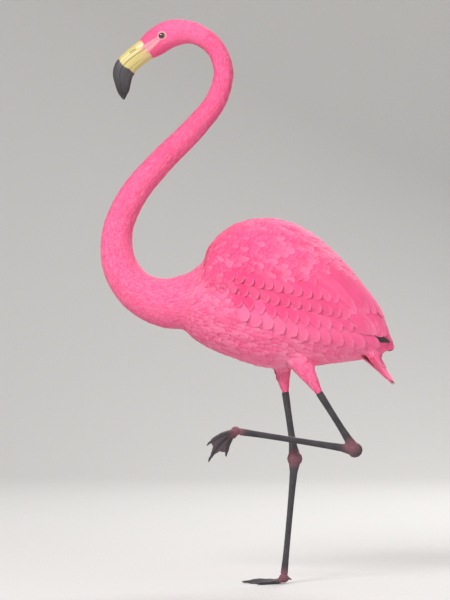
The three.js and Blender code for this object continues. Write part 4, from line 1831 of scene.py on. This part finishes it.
WING_COVER = (
    (-0.090, -0.065, 0.0, 0.06, 0.10, 0.13, 0.20, 0.27),
    (0.40, 0.622, 0.622, 0.615, 0.650, 0.650, 0.590, 0.520),
)  # x and z of the line below which the rows cover the wing
WING_LINES = (
    (
        (-0.15, 0.06, 0.66), (-0.06, 0.10, 0.62), (0.05, 0.10, 0.56), (0.16, 0.07, 0.50),
        (0.245, 0.03, 0.465), (0.25, 0.02, 0.42),
    ),
    (
        (-0.14, 0, 0.66), (-0.03, 0, 0.735), (0.06, 0, 0.73), (0.14, 0, 0.67), (0.22, 0, 0.57),
        (0.258, 0, 0.48), (0.25, 0, 0.42),
    ),
)  # the lines that the right wing's small coverts follow: its outer side and its ridge


@dataclass
class Wing:
    """A folded wing: small coverts, rows of long feathers with free tips, and a dark tip."""

    side: int
    name: str
    skin: Skin
    feathers: Material
    flight: Material
    small_spacing: float = 5.6 * MM
    large_spacing: float = 11.0 * MM
    back: tuple[float, float] = (0.12, 0.252)  # between these x coverts cover the back as well

    def build(self) -> None:
        """Grows the coverts and every row."""
        self._grow_coverts()
        for seed, row in enumerate(WING_ROWS, 70):
            self._grow_row(row, seed)

    def _spacing(self, places: Array) -> Array:
        """Returns how far apart the small coverts grow: closer at the shoulder and the rump."""
        aft = ease(-0.12, 0.16, places[:, 0]) * (1 - 0.62 * ease(0.20, 0.245, places[:, 0]))
        return self.small_spacing + (self.large_spacing - self.small_spacing) * aft

    def _grow_coverts(self) -> None:
        """Grows the small coverts and scapulars, above the rows."""
        roots = self.skin.scatter([Region.WING], self._spacing, 51 + self.side)
        x, y, z = roots.points.T
        above = z > np.interp(x, *WING_COVER)
        behind = (x > self.back[0]) & (x < self.back[1]) & (np.abs(roots.normals[:, 1]) < 0.7)
        roots = roots.picked((y * self.side > 0) & (above | behind))
        x, under = roots.points[:, 0], ease(-0.1, -0.5, roots.normals[:, 2])
        rng = np.random.default_rng(52 + self.side)
        outer, ridge = (np.array(line) * (1, self.side, 1) for line in WING_LINES)
        flow = Flow([(outer, 0.1), (ridge, 0.07)], 3.0)
        ways = turned(rng, flow.at(roots), roots, 0.07)
        lengths = varied(rng, self._spacing(roots.points) * 4.2, 0.1)
        widths = varied(rng, lengths * 0.5, 0.08)
        lengths = lengths * (1 - 0.35 * ease(0.20, 0.25, x)) * (1 - 0.35 * under * (x > 0.22))
        form = VaneForm(
            10, 8, 0.4, 0.55, 2.6, 0.03, 0.14, root_lift=0.4 * MM, tip_lift=2.4 * MM, fray=0.012,
            nicks=0.02, quill=0.2 * MM,
        )
        piece = (self.skin, self.feathers, f"coverts_{self.name}")
        Vanes(*piece, form, roots, ways, lengths, widths, 53 + self.side).grow()

    def _grow_row(self, row: WingRow, seed: int) -> None:
        """Grows one row.

        Args:
            row: The row.
            seed: For the variation.
        """
        x, z, lengths, slants = row.places()
        roots, found = self.skin.roots_at_side(x, z, self.side)
        lengths, slants = lengths[found], slants[found]
        rng = np.random.default_rng(seed + self.side)
        ways = np.stack([np.cos(slants), np.zeros(len(slants)), -np.sin(slants)], 1)
        ways = unit(ways - roots.normals * dot(ways, roots.normals))
        ways = turned(rng, ways, roots, 0.02)
        widths = varied(rng, row.width * (0.62 + 0.38 * lengths / lengths.max()), 0.05)
        lengths = varied(rng, lengths, 0.03)
        form = replace(ROW_FORM, bluntness=row.bluntness, tip_lift=row.lift)
        finish = self.flight if row.dark else self.feathers
        piece = (self.skin, finish, f"{row.name}_{self.name}")
        Vanes(*piece, form, roots, ways, lengths, widths, seed, -self.side, 0.6).grow()


@dataclass(frozen=True)
class TailLayer:
    """One layer of the tail's fan.

    side is 1 above the tail and -1 below it. reach is how far up from the tail's tip the roots
    lie. rise is how far roots and tips lie off the tail's middle, and half how far the outermost
    ones lie aside.
    """

    name: str
    side: int
    count: int
    reach: float
    length: float
    width: float
    rise: tuple[float, float]
    half: tuple[float, float]


TAIL_LAYERS = (
    TailLayer("upper", 1, 12, 0.078, 0.084, 0.026, (0.024, 0.003), (0.028, 0.040)),
    TailLayer("upper_coverts", 1, 8, 0.094, 0.066, 0.027, (0.032, 0.0135), (0.024, 0.032)),
    TailLayer("inner_upper", 1, 12, 0.079, 0.083, 0.026, (0.017, 0.0022), (0.030, 0.0405)),
    TailLayer("inner_lower", 1, 12, 0.078, 0.081, 0.026, (0.008, 0.0012), (0.031, 0.0405)),
    TailLayer("lower", -1, 11, 0.074, 0.078, 0.025, (0.0025, 0.001), (0.028, 0.038)),
    TailLayer("lower_coverts", -1, 8, 0.086, 0.052, 0.026, (0.008, 0.003), (0.024, 0.031)),
)
TAIL_FORM = VaneForm(
    24, 12, 0.5, 0.6, 3.0, 0.02, 0.12, math.radians(4), 0.0, 0.5 * MM, 0.006, 0.06, 0.3 * MM,
    free=True,
)


@dataclass
class Tail:
    """The short tail: a fan of stiff feathers with shorter ones over and under their roots."""

    skin: Skin
    feathers: Material
    slope: float = 45.0  # how steeply the tail falls, in degrees below level
    arch: float = 0.42  # how far the outermost feathers lean out

    def build(self) -> None:
        """Grows every layer."""
        for seed, layer in enumerate(TAIL_LAYERS, 90):
            self._grow_layer(layer, seed)

    def _grow_layer(self, layer: TailLayer, seed: int) -> None:
        """Grows one layer of the fan.

        Args:
            layer: The layer.
            seed: For the variation.
        """
        low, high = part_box("tail")
        tip = np.array([high[0], 0, low[2]])
        cos, sin = math.cos(math.radians(self.slope)), math.sin(math.radians(self.slope))
        axis, up = np.array([cos, 0, -sin]), np.array([sin, 0, cos]) * layer.side
        t = np.linspace(-1, 1, layer.count)[:, None]
        aside = ACROSS * t
        starts = tip - axis * layer.reach + up * layer.rise[0] * (1 - 0.35 * t**2)
        starts = starts + aside * layer.half[0]
        ends = tip + axis * (layer.length - layer.reach) + up * layer.rise[1] * (1 - 0.3 * t**2)
        ways = unit(ends + aside * layer.half[1] - starts)
        near = nearest_on(self.skin.tree, starts)[1]
        grounded = self.skin.roots_on(near, np.full((layer.count, 3), 1 / 3))
        facing = up + aside * np.abs(t) * (self.arch if layer.side > 0 else 0.0)
        facing = unit(facing - ways * dot(ways, facing))
        roots = Roots(starts, facing, grounded.uvs, grounded.regions)
        rng = np.random.default_rng(seed)
        lengths = varied(rng, layer.length * (1 - 0.1 * t[:, 0] ** 2), 0.03)
        widths = varied(rng, np.full(layer.count, layer.width), 0.05)
        sides = layer.side * np.sign(t[:, 0])
        piece = (self.skin, self.feathers, f"tail_{layer.name}")
        Vanes(*piece, TAIL_FORM, roots, ways, lengths, widths, seed, sides, 0.6).grow()


# ---- Bill ----
BILL_LENGTH = 122.0  # mm
GAPE = BentForm(BILL_START[[0, 2]] / MM, BILL_LENGTH, (
    (0.0, 0.0, 21, 23.5, 16.3),
    (-0.146, -0.098, 19.5, 24, 15.6),
    (-0.283, -0.206, 18, 25.5, 15),
    (-0.362, -0.3, 17, 27, 14.8),
    (-0.395, -0.4, 15.5, 26, 14),
    (-0.39, -0.54, 12, 21.5, 12),
    (-0.363, -0.696, 8.5, 14, 9),
    (-0.335, -0.815, 3, 3.6, 3),
))


@dataclass
class BillHalf:
    """Half of the bent bill: a narrow lid with slit nostrils, or the deep, keeled trough below."""

    side: int  # 1 for the upper half, -1 for the lower
    node: str
    horn: Material
    rows: int = 170
    columns: int = 120
    outside: float = 0.7  # the share of the columns that go round the outside
    sunk: float = 0.045  # share of the gape's length that the bill runs back under the face
    nail_from: float = 0.955  # where the bill starts to close to its tip
    lip: float = 0.12 * MM  # half the gap between the halves
    nostril: tuple[float, float] = (0.09, 0.25)
    nostril_up: float = 0.56

    def build(self) -> None:
        """Builds the half as a finished piece."""
        points, marks = self._grid()
        piece = tube_object(f"{self.node}_horn", points, self.side)
        finish_piece(piece, "bill", [self.horn], [self.node], bill=marks.reshape(-1, 3))

    def _grid(self) -> tuple[Array, Array]:
        """Works out the grid: round the outside from lip to lip, and back along the gape.

        Returns:
            The vertices and their marks, by row and column.
        """
        t = np.linspace(0, 1, self.rows)
        shares = -self.sunk + (1 + self.sunk) * (1.25 * t - 0.25 * t**4)
        middle, _, back, sizes = GAPE.at(shares)
        closing = np.clip((shares - self.nail_from) / (1 - self.nail_from), 0, 1)
        sizes = sizes * np.sqrt(1 - 0.998 * closing**2.2)[:, None]
        depth = sizes[:, :1] if self.side > 0 else sizes[:, 1:2]
        u = np.clip(shares, 0, 1)[:, None]
        outer = int(self.columns * self.outside)
        angle = np.linspace(0, np.pi, outer)
        arch, flat = np.sin(angle)[None] ** 0.8, np.cos(angle)[None]
        higher, wider, pull = self._details(u, arch)
        rise = depth * arch * higher - pull * arch
        out = sizes[:, 2:] * flat * wider - np.sign(flat) * pull
        inner = np.linspace(1, -1, self.columns - outer + 2)[None, 1:-1]
        roof = depth * 0.10 * (1 - inner**2) * (1 - u)
        rises = self.lip + np.concatenate([rise, roof], 1)
        outs = np.concatenate([out, -out[:, :1] * inner], 1)
        points = middle[:, None] + back[:, None] * (self.side * rises)[..., None]
        points = points + ACROSS * outs[..., None]
        marks = np.zeros(points.shape)
        marks[..., 0] = shares[:, None]
        marks[:, :outer, 1] = arch
        if self.side > 0:
            marks[:, :outer, 2] = self._slit(u, arch, 0.035)
        return points, marks

    def _slit(self, u: Array, arch: Array, reach: float) -> Array:
        """Returns how much of the nostril's slit is at each place.

        Args:
            u: The share along the gape.
            arch: The share from lip to ridge.
            reach: How far it reaches to each side.

        Returns:
            From 0 to 1.
        """
        start, end = self.nostril
        middle = self.nostril_up + 0.5 * (u - 0.17) - 6.0 * (u - 0.17) ** 2
        span = ease(start, start + 0.04, u) * (1 - ease(end - 0.05, end, u))
        return hump(arch, middle, reach) * span

    def _details(self, u: Array, arch: Array) -> tuple[Array, Array, Array]:
        """Shapes what each half has of its own.

        The upper half has a flatter ridge, a groove and the nostrils, and the lower half full
        cheeks and a shallow furrow along them.

        Args:
            u: The share along the gape.
            arch: The share from lip to ridge or keel.

        Returns:
            How much higher and wider it is, and how far its surface is drawn in.
        """
        if self.side > 0:
            groove = hump(arch, 0.34, 0.07) * ease(0.03, 0.12, u) * (1 - ease(0.86, 0.98, u))
            slit, swell = self._slit(u, arch, 0.03), self._slit(u, arch, 0.13)
            flatter = 1 - 0.08 * hump(arch, 0.8, 0.2) * ease(0.35, 0.6, u)
            return flatter, 1.0, 0.75 * MM * groove + 3.0 * MM * slit - 0.7 * MM * swell
        full = 1 + 0.07 * hump(u, 0.42, 0.2) * hump(arch, 0.4, 0.3)
        furrow = hump(arch, 0.62, 0.07) * ease(0.08, 0.2, u) * (1 - ease(0.5, 0.75, u))
        return 1.0, full, 0.6 * MM * furrow


# ---- Eyes and lids ----
@dataclass
class Eye:
    """One eye: a ball with a raised cornea, in a bare ring with folded lids."""

    side: int
    name: str
    skin: Skin
    wet: Material
    bare: Material
    rings: int = 40
    spokes: int = 72
    cornea: float = 0.5 * MM
    opening: float = 5.7 * MM
    ring_width: float = 4.8 * MM
    lid_rows: int = 26
    lid_thickness: float = 0.8 * MM

    def build(self) -> None:
        """Builds the ball and the lids."""
        place = EyePlace(self.side)
        points, gaze = self._ball(place)
        ball = tube_object(f"eyeball_{self.name}", points)
        finish_piece(ball, "eye", [self.wet], [f"eye_{self.name}"], gaze=gaze)
        lids = mesh_object(f"eyelids_{self.name}", *self._lids(place))
        finish_piece(lids, "plumage", [self.bare])

    def _ball(self, place: EyePlace) -> tuple[Array, Array]:
        """Shapes the ball.

        Args:
            place: Where it sits.

        Returns:
            Its vertices, by ring and spoke, and the mark that the eye's finish reads.
        """
        polar = np.linspace(0, np.pi, self.rings)
        turn = np.linspace(0, 2 * np.pi, self.spokes, endpoint=False)
        bulge = EYE_RADIUS + self.cornea * hump(polar, 0, 0.55)
        out = (bulge * np.cos(polar))[:, None]
        flat = np.maximum(bulge * np.sin(polar), 0.02 * MM)[:, None]
        points = place.middle + ACROSS * self.side * out[..., None]
        points = points + place.forward * (flat * np.cos(turn))[..., None]
        points = points + place.up * (flat * np.sin(turn))[..., None]
        return points, np.repeat(np.sin(np.minimum(polar, np.pi / 2)), self.spokes)

    def _lids(self, place: EyePlace) -> Meshed:
        """Shapes the ring of lids from its margin on the ball out to the skin.

        Args:
            place: Where the eye sits.

        Returns:
            The vertices and faces.
        """
        turn = np.linspace(0, 2 * np.pi, 2 * self.spokes, endpoint=False)[None]
        t = np.linspace(0, 1, self.lid_rows)[:, None]
        opening = self.opening * (1 + 0.05 * np.cos(2 * turn) + 0.05 * np.cos(turn) ** 9)
        radius = opening + self.ring_width * t**1.3
        ahead, above = radius * np.cos(turn), radius * np.sin(turn)
        ball = np.sqrt(np.maximum(EYE_RADIUS**2 - radius**2, 0)) + EYE_ASIDE
        points = place.middle + place.forward * ahead[..., None] + place.up * above[..., None]
        x, _, z = points.reshape(-1, 3).T
        found = self.skin.roots_at_side(x, z, self.side)[0]
        ground = np.abs(found.points[:, 1]).reshape(radius.shape)
        rim = np.clip(t / 0.12, 0, 1)
        on_ball = ball - 0.5 * MM + 1.5 * MM * np.sqrt(rim * (2 - rim))
        settle = ease(0.12, 0.85, t)
        folds = 0.22 * MM * np.sin(t * 21 + 0.8 * np.sin(turn * 2)) * ease(0.15, 0.3, t) * (1 - t)
        crow = 0.10 * MM * np.sin(turn * 31 + 3 * t) * ease(0.2, 0.5, t) * (1 - t)
        on_skin = ground + 0.25 * MM - 0.8 * MM * ease(0.8, 1.0, t)
        height = on_ball * (1 - settle) + on_skin * settle
        height = np.maximum(height, ground - 0.4 * MM) + folds + crow
        points[..., 1] = height * self.side
        under = points - ACROSS * self.side * self.lid_thickness
        points = np.concatenate([points, under[-2:0:-4]])
        faces = grid_faces(len(points) + 1, turn.size, closed=True) % points[..., 0].size
        return points.reshape(-1, 3), faces[:, ::-self.side]


# ---- Claws ----
@dataclass
class Claws:
    """The blunt claws, rounded from their faceted solids."""

    nodes: dict[str, Object]
    voxel: float = 0.35 * MM
    swell: float = 0.5 * MM

    def build(self) -> None:
        """Builds every claw."""
        horn = ClawFinish().material()
        for name in sorted(n for n in self.nodes if n.startswith("claw_")):
            points, faces = fused([solid_arrays(self.nodes[name], self.swell)], self.voxel)
            points = Relaxer(faces, len(points)).smooth(points, 8)
            piece = mesh_object(f"{name}_horn", points, faces)
            finish_piece(piece, "claw", [horn], [name])


# ---- Studio ----
@dataclass
class Studio:
    """The camera, the floor that runs up into a backdrop, and the soft lights."""

    aim: tuple[float, float, float] = (-0.078, 0.0, 0.568)
    distance: float = 7.0
    raised: float = 0.10  # how far the camera is above what it aims at
    frame_height: float = 1.2
    sensor: float = 36.0
    world_strength: float = 0.42

    def place_camera(self) -> None:
        """Makes the camera, level with the bird's middle and square to its left side."""
        data = bpy.data.cameras.new("camera")
        data.sensor_width = self.sensor
        data.lens = self.sensor * self.distance / self.frame_height
        data.clip_end = 60.0
        start = Vector(self.aim) + Vector((0, -self.distance, self.raised))
        bpy.context.scene.camera = self._hang(data, start)

    def build(self) -> None:
        """Builds the floor, the backdrop and the lights."""
        self._build_sweep()
        for name, place, size, power in (
            ("key", (-2.0, -3.0, 3.4), 1.6, 190.0),
            ("fill", (2.8, -3.0, 1.6), 2.6, 40.0),
            ("rim", (1.4, 2.6, 2.8), 1.8, 110.0),
        ):
            data = bpy.data.lights.new(name, "AREA")
            data.size = size
            data.energy = power
            self._hang(data, Vector(place))
        world = bpy.data.worlds.new("studio")
        bpy.context.scene.world = world
        world.use_nodes = True
        background = world.node_tree.nodes["Background"]
        background.inputs["Color"].default_value = (1.0, 1.0, 1.0, 1.0)
        background.inputs["Strength"].default_value = self.world_strength
        bpy.context.scene.view_settings.view_transform = "Standard"

    def _hang(self, data: bpy.types.ID, place: Vector) -> Object:
        """Puts a light or a camera somewhere, turned to the bird.

        Args:
            data: The light or camera.
            place: Where it goes.

        Returns:
            The new object.
        """
        hung = bpy.data.objects.new(data.name, data)
        bpy.context.scene.collection.objects.link(hung)
        hung.location = place
        hung.rotation_euler = (Vector(self.aim) - place).to_track_quat("-Z", "Y").to_euler()
        return hung

    def _build_sweep(self) -> None:
        """Builds one sheet that is floor in front and wall behind, with a round bend between."""
        bend, back, front, top, half = 1.6, 3.2, -9.0, 6.0, 9.0
        angle = np.linspace(0, np.pi / 2, 24)
        curve = zip(back + bend * np.sin(angle), bend * (1 - np.cos(angle)))
        profile = [(front, 0.0), *curve, (back + bend, top)]
        points = np.array([(x, y, z) for y, z in profile for x in (-half, half)])
        sweep = mesh_object("studio_sweep", points, grid_faces(len(profile), 2))
        sweep.data.materials.append(StudioFinish().material())


# ---- Putting it together ----
def main() -> None:
    """Builds the bird and its studio, piece by piece."""
    logging.basicConfig(level=logging.INFO, format="%(name)s: %(message)s")
    nodes = frame["nodes"]
    studio = Studio()
    studio.place_camera()
    studio.build()
    skin = Skin(nodes)
    skin.build()
    feathers = PlumageFinish().material()
    fine = PlumageFinish("fine_plumage", 0.8, 9.0, 0.02 * MM).material()
    BodyPlumage(skin, feathers, fine).build()
    flight = FlightFinish().material()
    for side, name in SIDES:
        Wing(side, name, skin, feathers, flight).build()
    Tail(skin, feathers).build()
    horn = HornFinish().material()
    BillHalf(1, "bill_upper", horn).build()
    BillHalf(-1, "bill_lower", horn).build()
    wet, bare = EyeFinish().material(), BareSkinFinish().material()
    for side, name in SIDES:
        Eye(side, name, skin, wet, bare).build()
    Claws(nodes).build()


if __name__ == "__main__":
    main()
